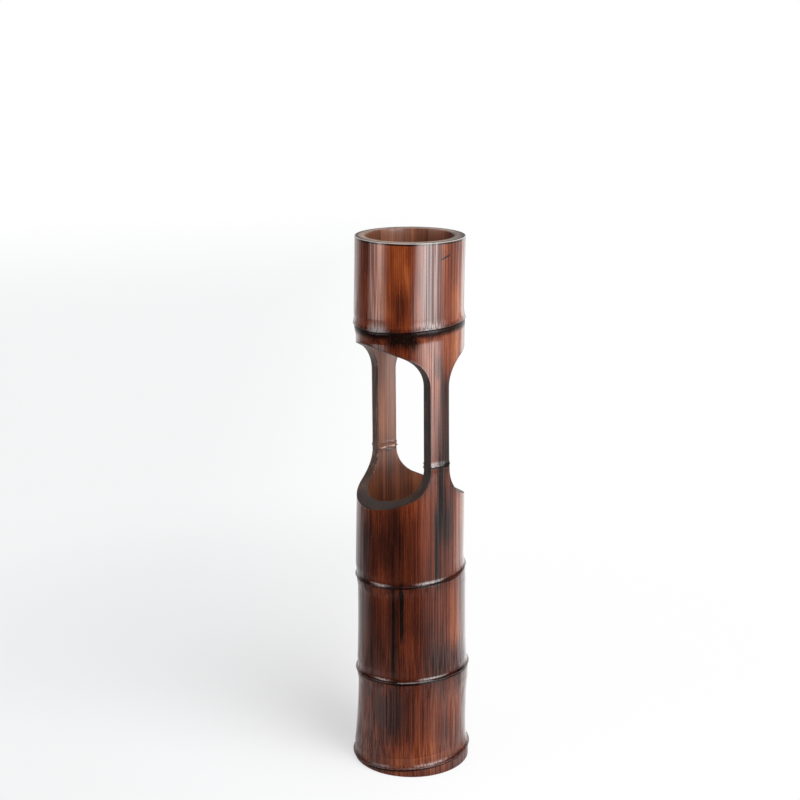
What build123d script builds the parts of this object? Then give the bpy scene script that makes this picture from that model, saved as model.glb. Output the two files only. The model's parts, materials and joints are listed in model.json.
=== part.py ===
from build123d import *
import os
from math import cos, radians, sin

# A two-tier vase sawn from one length of bamboo culm. It stands on z = 0 with its axis on Z, and
# its two windows face -Y and +Y, so its two posts stand at -X and +X. Lengths are in millimetres
# and angles in degrees. The culm is one grown piece, so its parts meet face to face.

# The lowest sheath scar above the floor, then from scar to scar up to the sawn mouth
base_node_height = 8.5
base_internode_length = 101.5
lower_internode_length = 114.5
lower_cup_internode_length = 132.5
window_internode_length = 151.0
cup_height = 92.0

# How far each node's plane leans from level, and the heading that it rises towards
upper_node_lean_angle = 3.4
upper_node_heading = 82.7
window_node_lean_angle = 1.5
window_node_heading = 55.7
middle_node_lean_angle = 5.2
middle_node_heading = 61.7
lower_node_lean_angle = 3.6
lower_node_heading = 31.7
base_node_lean_angle = 4.9
base_node_heading = 50.7

# The culm's gentle sway off the Z axis, along one heading
sway_heading = 56.2
mouth_sway = -2.4
upper_node_sway = -3.0
window_node_sway = -1.4
middle_node_sway = -1.2
lower_node_sway = 1.0

# Outer radius of each wall at its foot, at its waist and at its top
cup_foot_radius = 59.5
cup_waist_radius = 59.2
cup_mouth_radius = 59.3
window_foot_radius = 58.6
window_waist_radius = 58.4
window_top_radius = 58.9
lower_cup_foot_radius = 60.5
lower_cup_waist_radius = 59.9
lower_cup_top_radius = 58.9
lower_culm_foot_radius = 61.9
lower_culm_waist_radius = 60.8
lower_culm_top_radius = 60.7
base_culm_foot_radius = 64.0
base_culm_waist_radius = 62.3
base_culm_top_radius = 62.5
foot_radius = 65.4

# How far each ridge stands out from the foot of the wall above it
upper_ridge_stand = 1.7
window_ridge_stand = 1.4
middle_ridge_stand = 2.0
lower_ridge_stand = 2.6
base_ridge_stand = 3.1

# Radius of the bore in each internode: the mouth's takes an inner cup
cup_bore_radius = 47.4
window_bore_radius = 46.3
lower_cavity_radius = 45.0
base_cavity_radius = 43.0
foot_recess_radius = 41.0

# A node's outline: the wall flares out above the scar, overhangs it by a lip, and stands back below
flare_height = 13.0
taper_height = 14.0
window_flare_height = 7.0
window_taper_height = 7.0
sharp_crown_height = 1.5
lower_crown_height = 4.0
base_crown_height = 3.0
lip_drop = 0.6
scar_width = 1.2
scar_depth = 0.7
scar_step = 0.4

# A diaphragm: a disc across the node, dished on both faces, whose underside sits above the scar
# and whose rim is rooted in the wall
diaphragm_rise = 1.0
diaphragm_thickness = 6.0
diaphragm_rim_width = 7.0
diaphragm_root = 1.8
floor_dish_depth = 1.4
underside_dish_depth = 0.8

# The stump that is left on the posts where the window node's diaphragm was knocked out
stump_height = 6.0
stump_depth = 1.2

# The two sawn windows. At the wall's outside their top lies below the upper scar and their sill
# below the window scar. Towards the posts the top falls and the sill rises, then large curves join
# them to the posts, which are a little wider to the front of the axis than behind it
window_top_drop = 21.0
window_top_fall = 21.0
sill_drop = 48.5
sill_rise = 22.0
top_curve_radius = 34.0
sill_curve_radius = 36.0
front_post_top = 15.1
front_post_foot = 14.2
back_post_top = 9.4
back_post_foot = 10.7

# Eased edges, and how far a cut runs past what it cuts
mouth_chamfer = 0.9
foot_chamfer = 1.3
overrun = 5.0

lower_node_height = base_node_height + base_internode_length
middle_node_height = lower_node_height + lower_internode_length
window_node_height = middle_node_height + lower_cup_internode_length
upper_node_height = window_node_height + window_internode_length
mouth_height = upper_node_height + cup_height
window_top_height = upper_node_height - window_top_drop
window_shoulder_height = window_top_height - window_top_fall
sill_height = window_node_height - sill_drop
sill_shoulder_height = sill_height + sill_rise


def node_plane(height, lean_angle, heading, sway):
    """The plane of a node's scar: it leans, and its centre sways off the Z axis."""
    centre = (sway * cos(radians(sway_heading)), sway * sin(radians(sway_heading)), height)
    level = sin(radians(lean_angle))
    upright = cos(radians(lean_angle))
    normal = (-level * cos(radians(heading)), -level * sin(radians(heading)), upright)
    return Plane(origin=centre, x_dir=(1, 0, 0), z_dir=normal)


def halfway(low, high):
    """The plane midway between two planes."""
    normal = (low.z_dir + high.z_dir).normalized()
    return Plane(origin=(low.origin + high.origin) / 2, x_dir=(1, 0, 0), z_dir=normal)


mouth = node_plane(mouth_height, 0, 0, mouth_sway)
upper_node = node_plane(
    upper_node_height, upper_node_lean_angle, upper_node_heading, upper_node_sway
)
window_node = node_plane(
    window_node_height, window_node_lean_angle, window_node_heading, window_node_sway
)
middle_node = node_plane(
    middle_node_height, middle_node_lean_angle, middle_node_heading, middle_node_sway
)
lower_node = node_plane(
    lower_node_height, lower_node_lean_angle, lower_node_heading, lower_node_sway
)
base_node = node_plane(base_node_height, base_node_lean_angle, base_node_heading, 0)


def culm_length(low, high, foot, waist, top):
    """Solid wood between two planes, lofted through its radii at the foot, waist and top."""
    sections = []
    for plane, radius in ((low, foot), (halfway(low, high), waist), (high, top)):
        with BuildSketch(plane) as section:
            Circle(radius)
        sections.append(section.sketch)
    with BuildPart() as length:
        loft(sections=sections)
    return length.part


def node_length(node, above, stand, below, crown, flare, taper):
    """Solid wood at a node, turned about the node's own axis from its outline."""
    side = Plane(origin=node.origin, x_dir=node.x_dir, z_dir=-node.y_dir)
    ridge = above + stand
    lip = (ridge - lip_drop, 0)
    scar = (ridge - lip_drop - scar_depth, -scar_width / 2)
    under = (ridge - lip_drop - scar_step, -scar_width)
    down = (0, -1)
    with BuildPart() as length:
        with BuildSketch(side):
            with BuildLine():
                Polyline((0, flare), (above, flare))
                Spline((above, flare), (ridge, crown), tangents=(down, down))
                Spline((ridge, crown), lip, tangents=(down, (-1, -1)))
                Polyline(lip, scar, under)
                Spline(under, (below, -taper), tangents=(down, down))
                Polyline((below, -taper), (0, -taper), (0, flare))
            make_face()
        revolve(axis=Axis(node.origin, node.z_dir))
    return length.part


def bore(radius, low, high, floor, roof):
    """The hollow of one internode: upright, centred between two planes, from floor to roof."""
    centre = (low.origin + high.origin) / 2
    with BuildPart() as hollow:
        with Locations((centre.X, centre.Y, -overrun)):
            Cylinder(
                radius, mouth_height + 2 * overrun, align=(Align.CENTER, Align.CENTER, Align.MIN)
            )
        split(bisect_by=floor, keep=Keep.TOP)
        split(bisect_by=roof, keep=Keep.BOTTOM)
    return hollow.part


def dish(plane, radius, depth):
    """A shallow hollow in one face of a diaphragm, turned about the normal of that face's plane."""
    side = Plane(origin=plane.origin, x_dir=plane.x_dir, z_dir=-plane.y_dir)
    rim = radius - diaphragm_rim_width
    level = (1, 0)
    with BuildPart() as hollow:
        with BuildSketch(side):
            with BuildLine():
                Spline((0, depth), (rim, 0), tangents=(level, level))
                Polyline((rim, 0), (0, 0), (0, depth))
            make_face()
        revolve(axis=Axis(plane.origin, plane.z_dir))
    return hollow.part


def diaphragm(socket, radius, ledge, floor):
    """The disc between the hollow above and the one below: it fills its socket in the wall."""
    with BuildPart() as disc:
        add(socket)
        add(dish(floor, radius, -floor_dish_depth), mode=Mode.SUBTRACT)
        add(dish(ledge, radius, underside_dish_depth), mode=Mode.SUBTRACT)
    return disc.part


def window(side, post_top, post_foot):
    """What the saw takes out on one side: a sloping top, two large curves and a sloping sill."""
    reach = lower_cup_foot_radius + 2 * overrun
    top_slope = (window_top_height - window_shoulder_height) / (window_top_radius - post_top)
    sill_slope = (sill_shoulder_height - sill_height) / (lower_cup_top_radius - post_foot)
    corners = (
        (side * reach, window_shoulder_height + top_slope * (reach - post_top)),
        (side * post_top, window_shoulder_height),
        (side * post_foot, sill_shoulder_height),
        (side * reach, sill_shoulder_height - sill_slope * (reach - post_foot)),
    )
    with BuildPart() as notch:
        with BuildSketch(Plane.YZ):
            with BuildLine():
                FilletPolyline(
                    *corners, radius=(0, top_curve_radius, sill_curve_radius, 0), close=True
                )
            make_face()
        extrude(amount=reach, both=True)
    return notch.part


open_top = Plane.XY.offset(mouth_height + overrun)
open_foot = Plane.XY.offset(-overrun)

# The two faces of each diaphragm: they lean as its node does, but the upper cup's floor is dressed
# level, so an inner cup stands upright on it
floor_rise = diaphragm_rise + diaphragm_thickness
upper_ledge = upper_node.offset(diaphragm_rise)
middle_ledge = middle_node.offset(diaphragm_rise)
lower_ledge = lower_node.offset(diaphragm_rise)
base_ledge = base_node.offset(diaphragm_rise)
upper_floor = node_plane(upper_node_height + floor_rise, 0, 0, upper_node_sway)
middle_floor = middle_node.offset(floor_rise)
lower_floor = lower_node.offset(floor_rise)
base_floor = base_node.offset(floor_rise)

cup_bore = bore(cup_bore_radius, upper_node, mouth, upper_floor, open_top)
window_bore = bore(window_bore_radius, middle_node, upper_node, middle_floor, upper_ledge)
lower_cavity = bore(lower_cavity_radius, lower_node, middle_node, lower_floor, middle_ledge)
base_cavity = bore(base_cavity_radius, base_node, lower_node, base_floor, lower_ledge)
foot_recess = bore(foot_recess_radius, base_node, base_node, open_foot, base_ledge)

# Where each diaphragm is rooted, a little wider than the bore over it
upper_socket = bore(
    cup_bore_radius + diaphragm_root, upper_node, mouth, upper_ledge, upper_floor
)
middle_socket = bore(
    window_bore_radius + diaphragm_root, middle_node, upper_node, middle_ledge, middle_floor
)
lower_socket = bore(
    lower_cavity_radius + diaphragm_root, lower_node, middle_node, lower_ledge, lower_floor
)
base_socket = bore(
    base_cavity_radius + diaphragm_root, base_node, lower_node, base_ledge, base_floor
)

front_window = window(-1, front_post_top, front_post_foot)
back_window = window(1, back_post_top, back_post_foot)

# The upper cup: its wall with the eased mouth, its floor, and the ridge round its foot
with BuildPart() as upper_cup_wall:
    add(culm_length(upper_node.offset(flare_height), mouth,
                    cup_foot_radius, cup_waist_radius, cup_mouth_radius))
    add(cup_bore, mode=Mode.SUBTRACT)
    chamfer(upper_cup_wall.faces().sort_by(Axis.Z)[-1].edges(), mouth_chamfer)
upper_cup_wall.part.label = "upper_cup_wall"

with BuildPart() as upper_diaphragm:
    add(diaphragm(upper_socket, cup_bore_radius, upper_ledge, upper_floor))
upper_diaphragm.part.label = "upper_diaphragm"

with BuildPart() as upper_node_ring:
    add(node_length(upper_node, cup_foot_radius, upper_ridge_stand, window_top_radius,
                    sharp_crown_height, flare_height, taper_height))
    add(cup_bore, mode=Mode.SUBTRACT)
    add(window_bore, mode=Mode.SUBTRACT)
    add(upper_socket, mode=Mode.SUBTRACT)
upper_node_ring.part.label = "upper_node_ring"

# The window internode, bored and sawn, is a collar over two posts
with BuildPart() as window_internode:
    add(culm_length(window_node.offset(window_flare_height), upper_node.offset(-taper_height),
                    window_foot_radius, window_waist_radius, window_top_radius))
    add(window_bore, mode=Mode.SUBTRACT)
    add(front_window, mode=Mode.SUBTRACT)
    add(back_window, mode=Mode.SUBTRACT)

post_tops = Plane.XY.offset(window_shoulder_height)

with BuildPart() as window_collar:
    add(window_internode.part)
    split(bisect_by=post_tops, keep=Keep.TOP)
window_collar.part.label = "window_collar"

with BuildPart() as right_post:
    add(window_internode.part)
    split(bisect_by=post_tops, keep=Keep.BOTTOM)
    split(bisect_by=Plane.YZ, keep=Keep.TOP)
right_post.part.label = "right_post"

with BuildPart() as left_post:
    add(window_internode.part)
    split(bisect_by=post_tops, keep=Keep.BOTTOM)
    split(bisect_by=Plane.YZ, keep=Keep.BOTTOM)
left_post.part.label = "left_post"

# The window node: the saw left only its two ends, each with a stump of the diaphragm inside
wall_middle = (window_bore_radius + window_foot_radius) / 2
with BuildPart() as window_node_ends:
    add(node_length(window_node, window_foot_radius, window_ridge_stand, lower_cup_top_radius,
                    sharp_crown_height, window_flare_height, window_taper_height))
    add(window_bore, mode=Mode.SUBTRACT)
    with BuildSketch(Plane(origin=window_node.origin, x_dir=window_node.x_dir,
                           z_dir=-window_node.y_dir)):
        with BuildLine():
            ThreePointArc(
                (window_bore_radius, -stump_height / 2),
                (window_bore_radius - stump_depth, 0),
                (window_bore_radius, stump_height / 2),
            )
            Polyline(
                (window_bore_radius, stump_height / 2),
                (wall_middle, stump_height / 2),
                (wall_middle, -stump_height / 2),
                (window_bore_radius, -stump_height / 2),
            )
        make_face()
    revolve(axis=Axis(window_node.origin, window_node.z_dir))
    add(front_window, mode=Mode.SUBTRACT)
    add(back_window, mode=Mode.SUBTRACT)

with BuildPart() as right_post_node:
    add(window_node_ends.part)
    split(bisect_by=Plane.YZ, keep=Keep.TOP)
right_post_node.part.label = "right_post_node"

with BuildPart() as left_post_node:
    add(window_node_ends.part)
    split(bisect_by=Plane.YZ, keep=Keep.BOTTOM)
left_post_node.part.label = "left_post_node"

# The lower cup: its wall rises into a horn under each post
with BuildPart() as lower_cup_wall:
    add(culm_length(middle_node.offset(flare_height), window_node.offset(-window_taper_height),
                    lower_cup_foot_radius, lower_cup_waist_radius, lower_cup_top_radius))
    add(window_bore, mode=Mode.SUBTRACT)
    add(front_window, mode=Mode.SUBTRACT)
    add(back_window, mode=Mode.SUBTRACT)
lower_cup_wall.part.label = "lower_cup_wall"

with BuildPart() as middle_diaphragm:
    add(diaphragm(middle_socket, window_bore_radius, middle_ledge, middle_floor))
middle_diaphragm.part.label = "middle_diaphragm"

with BuildPart() as middle_node_ring:
    add(node_length(middle_node, lower_cup_foot_radius, middle_ridge_stand,
                    lower_culm_top_radius, sharp_crown_height, flare_height, taper_height))
    add(window_bore, mode=Mode.SUBTRACT)
    add(lower_cavity, mode=Mode.SUBTRACT)
    add(middle_socket, mode=Mode.SUBTRACT)
middle_node_ring.part.label = "middle_node_ring"

# The two closed internodes, and the node between them
with BuildPart() as lower_culm_wall:
    add(culm_length(lower_node.offset(flare_height), middle_node.offset(-taper_height),
                    lower_culm_foot_radius, lower_culm_waist_radius, lower_culm_top_radius))
    add(lower_cavity, mode=Mode.SUBTRACT)
lower_culm_wall.part.label = "lower_culm_wall"

with BuildPart() as lower_diaphragm:
    add(diaphragm(lower_socket, lower_cavity_radius, lower_ledge, lower_floor))
lower_diaphragm.part.label = "lower_diaphragm"

with BuildPart() as lower_node_ring:
    add(node_length(lower_node, lower_culm_foot_radius, lower_ridge_stand,
                    base_culm_top_radius, lower_crown_height, flare_height, taper_height))
    add(lower_cavity, mode=Mode.SUBTRACT)
    add(base_cavity, mode=Mode.SUBTRACT)
    add(lower_socket, mode=Mode.SUBTRACT)
lower_node_ring.part.label = "lower_node_ring"

with BuildPart() as base_culm_wall:
    add(culm_length(base_node.offset(flare_height), lower_node.offset(-taper_height),
                    base_culm_foot_radius, base_culm_waist_radius, base_culm_top_radius))
    add(base_cavity, mode=Mode.SUBTRACT)
base_culm_wall.part.label = "base_culm_wall"

# The base: the last partition, the bulge round it, and the stub that the vase stands on
with BuildPart() as base_diaphragm:
    add(diaphragm(base_socket, base_cavity_radius, base_ledge, base_floor))
base_diaphragm.part.label = "base_diaphragm"

with BuildPart() as base_node_ring:
    add(node_length(base_node, base_culm_foot_radius, base_ridge_stand, foot_radius,
                    base_crown_height, flare_height, taper_height))
    split(bisect_by=base_node, keep=Keep.TOP)
    add(base_cavity, mode=Mode.SUBTRACT)
    add(foot_recess, mode=Mode.SUBTRACT)
    add(base_socket, mode=Mode.SUBTRACT)
base_node_ring.part.label = "base_node_ring"

with BuildPart() as foot_ring:
    with BuildSketch():
        Circle(foot_radius)
    extrude(amount=base_node_height + taper_height)
    split(bisect_by=base_node, keep=Keep.BOTTOM)
    add(foot_recess, mode=Mode.SUBTRACT)
    chamfer(foot_ring.faces().sort_by(Axis.Z)[0].edges().sort_by(SortBy.LENGTH)[-1], foot_chamfer)
foot_ring.part.label = "foot_ring"

pieces = (
    upper_cup_wall, upper_node_ring, upper_diaphragm,
    window_collar, left_post, right_post, left_post_node, right_post_node,
    lower_cup_wall, middle_node_ring, middle_diaphragm,
    lower_culm_wall, lower_node_ring, lower_diaphragm,
    base_culm_wall, base_node_ring, base_diaphragm, foot_ring,
)
os.makedirs("parts", exist_ok=True)
for piece in pieces:
    export_step(piece.part, "parts/" + piece.part.label + ".step")
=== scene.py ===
# %% [markdown]
# # A two-tier vase sawn from one bamboo culm
# The vase is one length of thick bamboo, carbonised over a flame and lacquered. A window is sawn
# through it, so that a cup stands on two posts above a second cup. The CAD frame carries its
# sizes. The packed model is loaded first, and every mesh below is drawn round it in the same
# place, finer and with the small unevenness that a grown thing has.

# %% Load the frame
import bpy
import json
import math
import numpy as np
from mathutils import Matrix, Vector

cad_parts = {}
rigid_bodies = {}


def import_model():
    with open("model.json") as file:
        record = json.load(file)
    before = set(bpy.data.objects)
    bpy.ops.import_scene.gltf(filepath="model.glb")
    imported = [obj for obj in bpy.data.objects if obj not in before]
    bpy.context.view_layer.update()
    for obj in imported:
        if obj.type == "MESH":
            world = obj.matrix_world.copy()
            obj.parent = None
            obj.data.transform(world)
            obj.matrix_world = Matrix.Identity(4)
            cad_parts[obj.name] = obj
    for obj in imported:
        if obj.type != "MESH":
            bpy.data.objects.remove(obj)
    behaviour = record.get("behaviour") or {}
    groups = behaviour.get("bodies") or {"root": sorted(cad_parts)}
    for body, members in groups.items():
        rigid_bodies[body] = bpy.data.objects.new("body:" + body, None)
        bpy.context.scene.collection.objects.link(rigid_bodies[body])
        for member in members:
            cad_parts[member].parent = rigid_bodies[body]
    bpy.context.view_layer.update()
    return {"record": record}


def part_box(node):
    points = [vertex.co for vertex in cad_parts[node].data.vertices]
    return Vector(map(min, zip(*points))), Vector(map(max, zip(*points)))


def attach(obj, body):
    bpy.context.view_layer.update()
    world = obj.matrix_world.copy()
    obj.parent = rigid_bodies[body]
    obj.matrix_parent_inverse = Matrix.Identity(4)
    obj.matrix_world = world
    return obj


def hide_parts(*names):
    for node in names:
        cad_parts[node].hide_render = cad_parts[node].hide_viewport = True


for leftover in list(bpy.data.objects):
    bpy.data.objects.remove(leftover)
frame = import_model()

# %% [markdown]
# ## Sizes
# The sizes are the CAD's, in metres: where each node's sheath scar crosses the axis, how far its
# plane leans and sways, and how thick the culm is. Grown bamboo is never quite straight or level,
# and these small leans are what makes the rings in the photograph rise to one side.

# %% Sizes of the culm
MM = 0.001
base_node_height = 8.5 * MM
lower_node_height = base_node_height + 101.5 * MM
middle_node_height = lower_node_height + 114.5 * MM
window_node_height = middle_node_height + 132.5 * MM
upper_node_height = window_node_height + 151.0 * MM
mouth_height = upper_node_height + 92.0 * MM

cup_bore_radius = 47.4 * MM
window_bore_radius = 46.3 * MM
lower_cavity_radius = 45.0 * MM
base_cavity_radius = 43.0 * MM
foot_recess_radius = 41.0 * MM
foot_radius = 65.4 * MM

flare_height, taper_height = 13.0 * MM, 14.0 * MM
window_flare_height = window_taper_height = 7.0 * MM
lip_drop, scar_width, scar_depth, scar_step = 0.6 * MM, 1.2 * MM, 0.7 * MM, 0.4 * MM

diaphragm_rise, diaphragm_thickness = 1.0 * MM, 6.0 * MM
diaphragm_rim_width, diaphragm_root = 7.0 * MM, 1.8 * MM
floor_dish_depth, underside_dish_depth = 1.4 * MM, 0.8 * MM
stump_depth = 2.4 * MM

window_top_height = upper_node_height - 21.0 * MM
window_shoulder_height = window_top_height - 21.0 * MM
sill_height = window_node_height - 48.5 * MM
sill_shoulder_height = sill_height + 22.0 * MM
top_curve_radius, sill_curve_radius = 34.0 * MM, 36.0 * MM
front_post_top, front_post_foot = 15.1 * MM, 14.2 * MM
back_post_top, back_post_foot = 9.4 * MM, 10.7 * MM

mouth_ease, foot_ease, saw_ease = 0.9 * MM, 1.3 * MM, 0.8 * MM
rim_sanding = 0.16 * MM
sway_heading = math.radians(56.2)
print("mouth at %.1f mm, window from %.1f to %.1f mm" % (
    mouth_height / MM, sill_height / MM, window_top_height / MM))


# %% [markdown]
# ## Leaning slices
# Every ring of the culm is drawn on a slice: a plane through the axis point of its node, tilted
# the way that node grew. Keeping the slice as its own little class means that walls, rings and
# floors that share a slice meet on it exactly.

# %% A slice across the culm
class Slice:
    """A plane across the culm, with the two directions that its circles are drawn along."""

    def __init__(self, centre, normal):
        self.centre = np.asarray(centre, float)
        self.normal = np.asarray(normal, float) / np.linalg.norm(normal)
        across = np.array([1.0, 0.0, 0.0])
        across = across - self.normal * (across @ self.normal)
        self.across = across / np.linalg.norm(across)
        self.along = np.cross(self.normal, self.across)

    def offset(self, rise):
        return Slice(self.centre + rise * self.normal, self.normal)

    def ring(self, radius, angle, rise=0.0):
        radius, angle, rise = (np.asarray(v, float)[..., None] for v in (radius, angle, rise))
        spoke = np.cos(angle) * self.across + np.sin(angle) * self.along
        return self.centre + radius * spoke + rise * self.normal

    def level(self, x, y):
        """The slice's height over a place on the floor."""
        lean = (x - self.centre[0]) * self.normal[0] + (y - self.centre[1]) * self.normal[1]
        return self.centre[2] - lean / self.normal[2]

    def level_at(self, points):
        return self.level(points[..., 0], points[..., 1])

    def up_to(self, points):
        """How far each point is straight above the slice."""
        return points[..., 2] - self.level_at(points)


def node_slice(height, lean_angle=0.0, heading=0.0, sway=0.0):
    tilt, turn = math.radians(lean_angle), math.radians(heading)
    centre = (sway * math.cos(sway_heading), sway * math.sin(sway_heading), height)
    normal = (-math.sin(tilt) * math.cos(turn), -math.sin(tilt) * math.sin(turn), math.cos(tilt))
    return Slice(centre, normal)


mouth = node_slice(mouth_height, sway=-2.4 * MM)
upper_node = node_slice(upper_node_height, 3.4, 82.7, -3.0 * MM)
window_node = node_slice(window_node_height, 1.5, 55.7, -1.4 * MM)
middle_node = node_slice(middle_node_height, 5.2, 61.7, -1.2 * MM)
lower_node = node_slice(lower_node_height, 3.6, 31.7, 1.0 * MM)
base_node = node_slice(base_node_height, 4.9, 50.7)
print("upper node rises %.1f mm across the culm" % (
    (upper_node.level(0, 0.06) - upper_node.level(0, -0.06)) / MM))

# %% [markdown]
# ## Closed solids from grids of points
# Each piece is worked out as a grid of points in numpy and handed to Blender in one call, which
# is quick and exact. A wall or a ring is a closed loop of points carried round the axis, so its
# grid closes both ways and leaves no open edge. The helper turns a shell that came out inside
# out, marks the hard edges, and keeps what each point is made of: which finish its face takes,
# how far it is above the scar below it, how far under the scar above it, and how much of it is
# outer skin.

# %% Turn grids into closed meshes
SKIN, SAWN, BORE, FLOOR, JOINT = 0, 1, 2, 3, 4
SHARP_EDGE = math.radians(38)
ease_rows = 3


def solid(name, points, faces, finish, above, below, skin):
    """A closed mesh from rows of four corners; a corner that comes twice makes a triangle."""
    def cone(a, b):
        edges = np.cross(points[faces[:, a]], points[faces[:, b]])
        return np.einsum("ij,ij->i", points[faces[:, 0]], edges).sum() / 6

    volume = cone(1, 2) + cone(2, 3)
    if volume < 0:
        faces = faces[:, ::-1]
    mesh = bpy.data.meshes.new(name + "_finished")
    mesh.from_pydata(points.tolist(), [], [
        [v for k, v in enumerate(f) if v != f[k - 1]] for f in faces.tolist()])
    mesh.attributes.new("finish", "INT", "FACE").data.foreach_set(
        "value", np.asarray(finish, np.int32))
    for key, values in (("above_scar", above), ("below_scar", below), ("skin", skin)):
        mesh.attributes.new(key, "FLOAT", "POINT").data.foreach_set(
            "value", np.asarray(values, np.float32))
    mesh.update()
    mesh.shade_smooth()
    mesh.set_sharp_from_angle(angle=SHARP_EDGE)
    piece = bpy.data.objects.new(name + "_finished", mesh)
    bpy.context.scene.collection.objects.link(piece)
    low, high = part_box(name)
    off = max(max(abs(a - b) for a, b in zip(points.min(0), low)),
              max(abs(a - b) for a, b in zip(points.max(0), high)))
    print("%-17s %6d faces %6.1f cm3, box within %.2f mm of the CAD" % (
        name, len(faces), abs(volume) * 1e6, off / MM))
    return piece


# %% Closed rings, and eased edges
def hoop(name, loop, band_finish, above, below, skin):
    """loop[k, j] is point k of the closed section at turn j of a full circle."""
    rows, turns = loop.shape[:2]
    number = np.arange(rows * turns).reshape(rows, turns)
    down, on = np.roll(number, -1, axis=0), np.roll(number, -1, axis=1)
    faces = np.stack([number, down, np.roll(down, -1, axis=1), on], axis=-1).reshape(-1, 4)
    assert len(band_finish) == rows, (name, len(band_finish), rows)
    finish = np.repeat(np.asarray(band_finish), turns)
    spread = []
    for values in (above, below, skin):
        values = np.asarray(values, float)
        values = values[:, None] if values.ndim == 1 else values
        spread.append(np.broadcast_to(values, (rows, turns)).ravel())
    return solid(name, loop.reshape(-1, 3), faces, finish, *spread)


def smooth(t):
    return t * t * (3.0 - 2.0 * t)


def between(first, last, count):
    """Rows of points from one row to another, both of them included."""
    return np.stack([first + (last - first) * t for t in np.linspace(0, 1, count)])


def eased_corner(before, corner, after):
    """Points inside an eased edge, from one face to the next round the sharp corner."""
    t = (np.arange(ease_rows) + 1.0)[:, None, None] / (ease_rows + 1)
    return (1 - t) ** 2 * before + 2 * t * (1 - t) * corner + t ** 2 * after


print("a face's finish is kept as a number from", SKIN, "to", JOINT)


# %% [markdown]
# ## The walls between the nodes
# An internode is close to a cylinder: it runs between two leaning slices and narrows a little at
# its waist. The CAD lofts it through three circles, so the same quadratic is used here, and the
# wall's grid is fine enough to carry a smooth highlight down a glossy skin.

# %% Outer skin of an internode
class Internode:
    """The skin between two slices, drawn through its radii at the foot, the waist and the top."""

    def __init__(self, low, high, foot, waist, top):
        self.low, self.high = low, high
        self.middle = Slice((low.centre + high.centre) / 2, low.normal + high.normal)
        self.radii = foot, waist, top

    def point(self, share, angle):
        share = np.asarray(share, float)
        foot, waist, top = (s.ring(r, angle) for s, r in zip(
            (self.low, self.middle, self.high), self.radii))
        t = share[..., None]
        return foot * (1 - t) * (1 - 2 * t) + waist * 4 * t * (1 - t) + top * t * (2 * t - 1)

    def at(self, angle, height):
        """The skin's point in one direction at a given height."""
        foot, waist, top = (self.point(np.full_like(angle, s), angle)[..., 2] for s in (0, .5, 1))
        bend, slope = 2 * (foot + top - 2 * waist), 4 * waist - 3 * foot - top
        share = (height - foot) / (top - foot)
        for _ in range(3):
            share = share - (bend * share ** 2 + slope * share + foot - height) / (
                2 * bend * share + slope)
        return self.point(share, angle)

    def at_side(self, right, across, height):
        """The skin's point at a distance across the culm, on its right or left side."""
        centre = self.middle.centre
        angle = np.arcsin(np.clip((across - centre[1]) / self.radii[1], -1, 1))
        for _ in range(4):
            spot = self.at(angle if right else np.pi - angle, height)
            angle = angle + (across - spot[..., 1]) / np.maximum(
                np.abs(spot[..., 0] - centre[0]), 1 * MM)
        return spot


cup_skin = Internode(upper_node.offset(flare_height), mouth, 59.5 * MM, 59.2 * MM, 59.3 * MM)
window_skin = Internode(window_node.offset(window_flare_height), upper_node.offset(-taper_height),
                        58.6 * MM, 58.4 * MM, 58.9 * MM)
lower_cup_skin = Internode(middle_node.offset(flare_height),
                           window_node.offset(-window_taper_height),
                           60.5 * MM, 59.9 * MM, 58.9 * MM)
lower_culm_skin = Internode(lower_node.offset(flare_height), middle_node.offset(-taper_height),
                            61.9 * MM, 60.8 * MM, 60.7 * MM)
base_culm_skin = Internode(base_node.offset(flare_height), lower_node.offset(-taper_height),
                           64.0 * MM, 62.3 * MM, 62.5 * MM)
print("cup skin is %.1f mm across at its waist" % (2 * cup_skin.radii[1] / MM))


# %% Upright bores, and the three whole walls
def bore_axis(low, high):
    return (low.centre[:2] + high.centre[:2]) / 2


def bore_ring(radius, axis, angle, level):
    """Points round an upright bore; level is a slice, or a height."""
    x, y = axis[0] + radius * np.cos(angle), axis[1] + radius * np.sin(angle)
    z = level.level(x, y) if isinstance(level, Slice) else np.broadcast_to(level, x.shape)
    return np.stack([x, y, z], axis=-1)


cup_axis = bore_axis(upper_node, mouth)
window_axis = bore_axis(middle_node, upper_node)
lower_axis = bore_axis(lower_node, middle_node)
base_axis = bore_axis(base_node, lower_node)
foot_axis = base_node.centre[:2]
turns_round = 288
TURN = np.linspace(0, 2 * np.pi, turns_round, endpoint=False)


def ladder(low, high, count):
    """Shares of a wall, closer together at its ends."""
    t = np.linspace(0, 1, count)
    return low + (high - low) * (0.75 * t + 0.25 * smooth(t))


def wall(name, skin, radius, axis, skin_rows=26, bore_rows=9):
    """A whole wall: its skin up, the top face in, its bore down and the bottom face out."""
    up = ladder(0, 1, skin_rows)
    outer = np.stack([skin.point(np.full_like(TURN, s), TURN) for s in up])
    low, high = (bore_ring(radius, axis, TURN, s) for s in (skin.low, skin.high))
    loop = np.concatenate([outer, between(high, low, bore_rows)])
    height = np.concatenate([up, np.linspace(1, 0, bore_rows)])[:, None]
    length = skin.high.centre[2] - skin.low.centre[2]
    above = flare_height + height * length
    below = taper_height + (1 - height) * length
    finish = [SKIN] * (skin_rows - 1) + [JOINT] + [BORE] * (bore_rows - 1) + [JOINT]
    return hoop(name, loop, finish, above, below, [1.0] * skin_rows + [0.0] * bore_rows)


wall("lower_culm_wall", lower_culm_skin, lower_cavity_radius, lower_axis)
wall("base_culm_wall", base_culm_skin, base_cavity_radius, base_axis)

# %% [markdown]
# ## The upper cup's wall
# The mouth is sawn level and its two edges are eased with abrasive paper. The section therefore
# gains two short curves at the top, which catch a thin line of light in the photograph.

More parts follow.
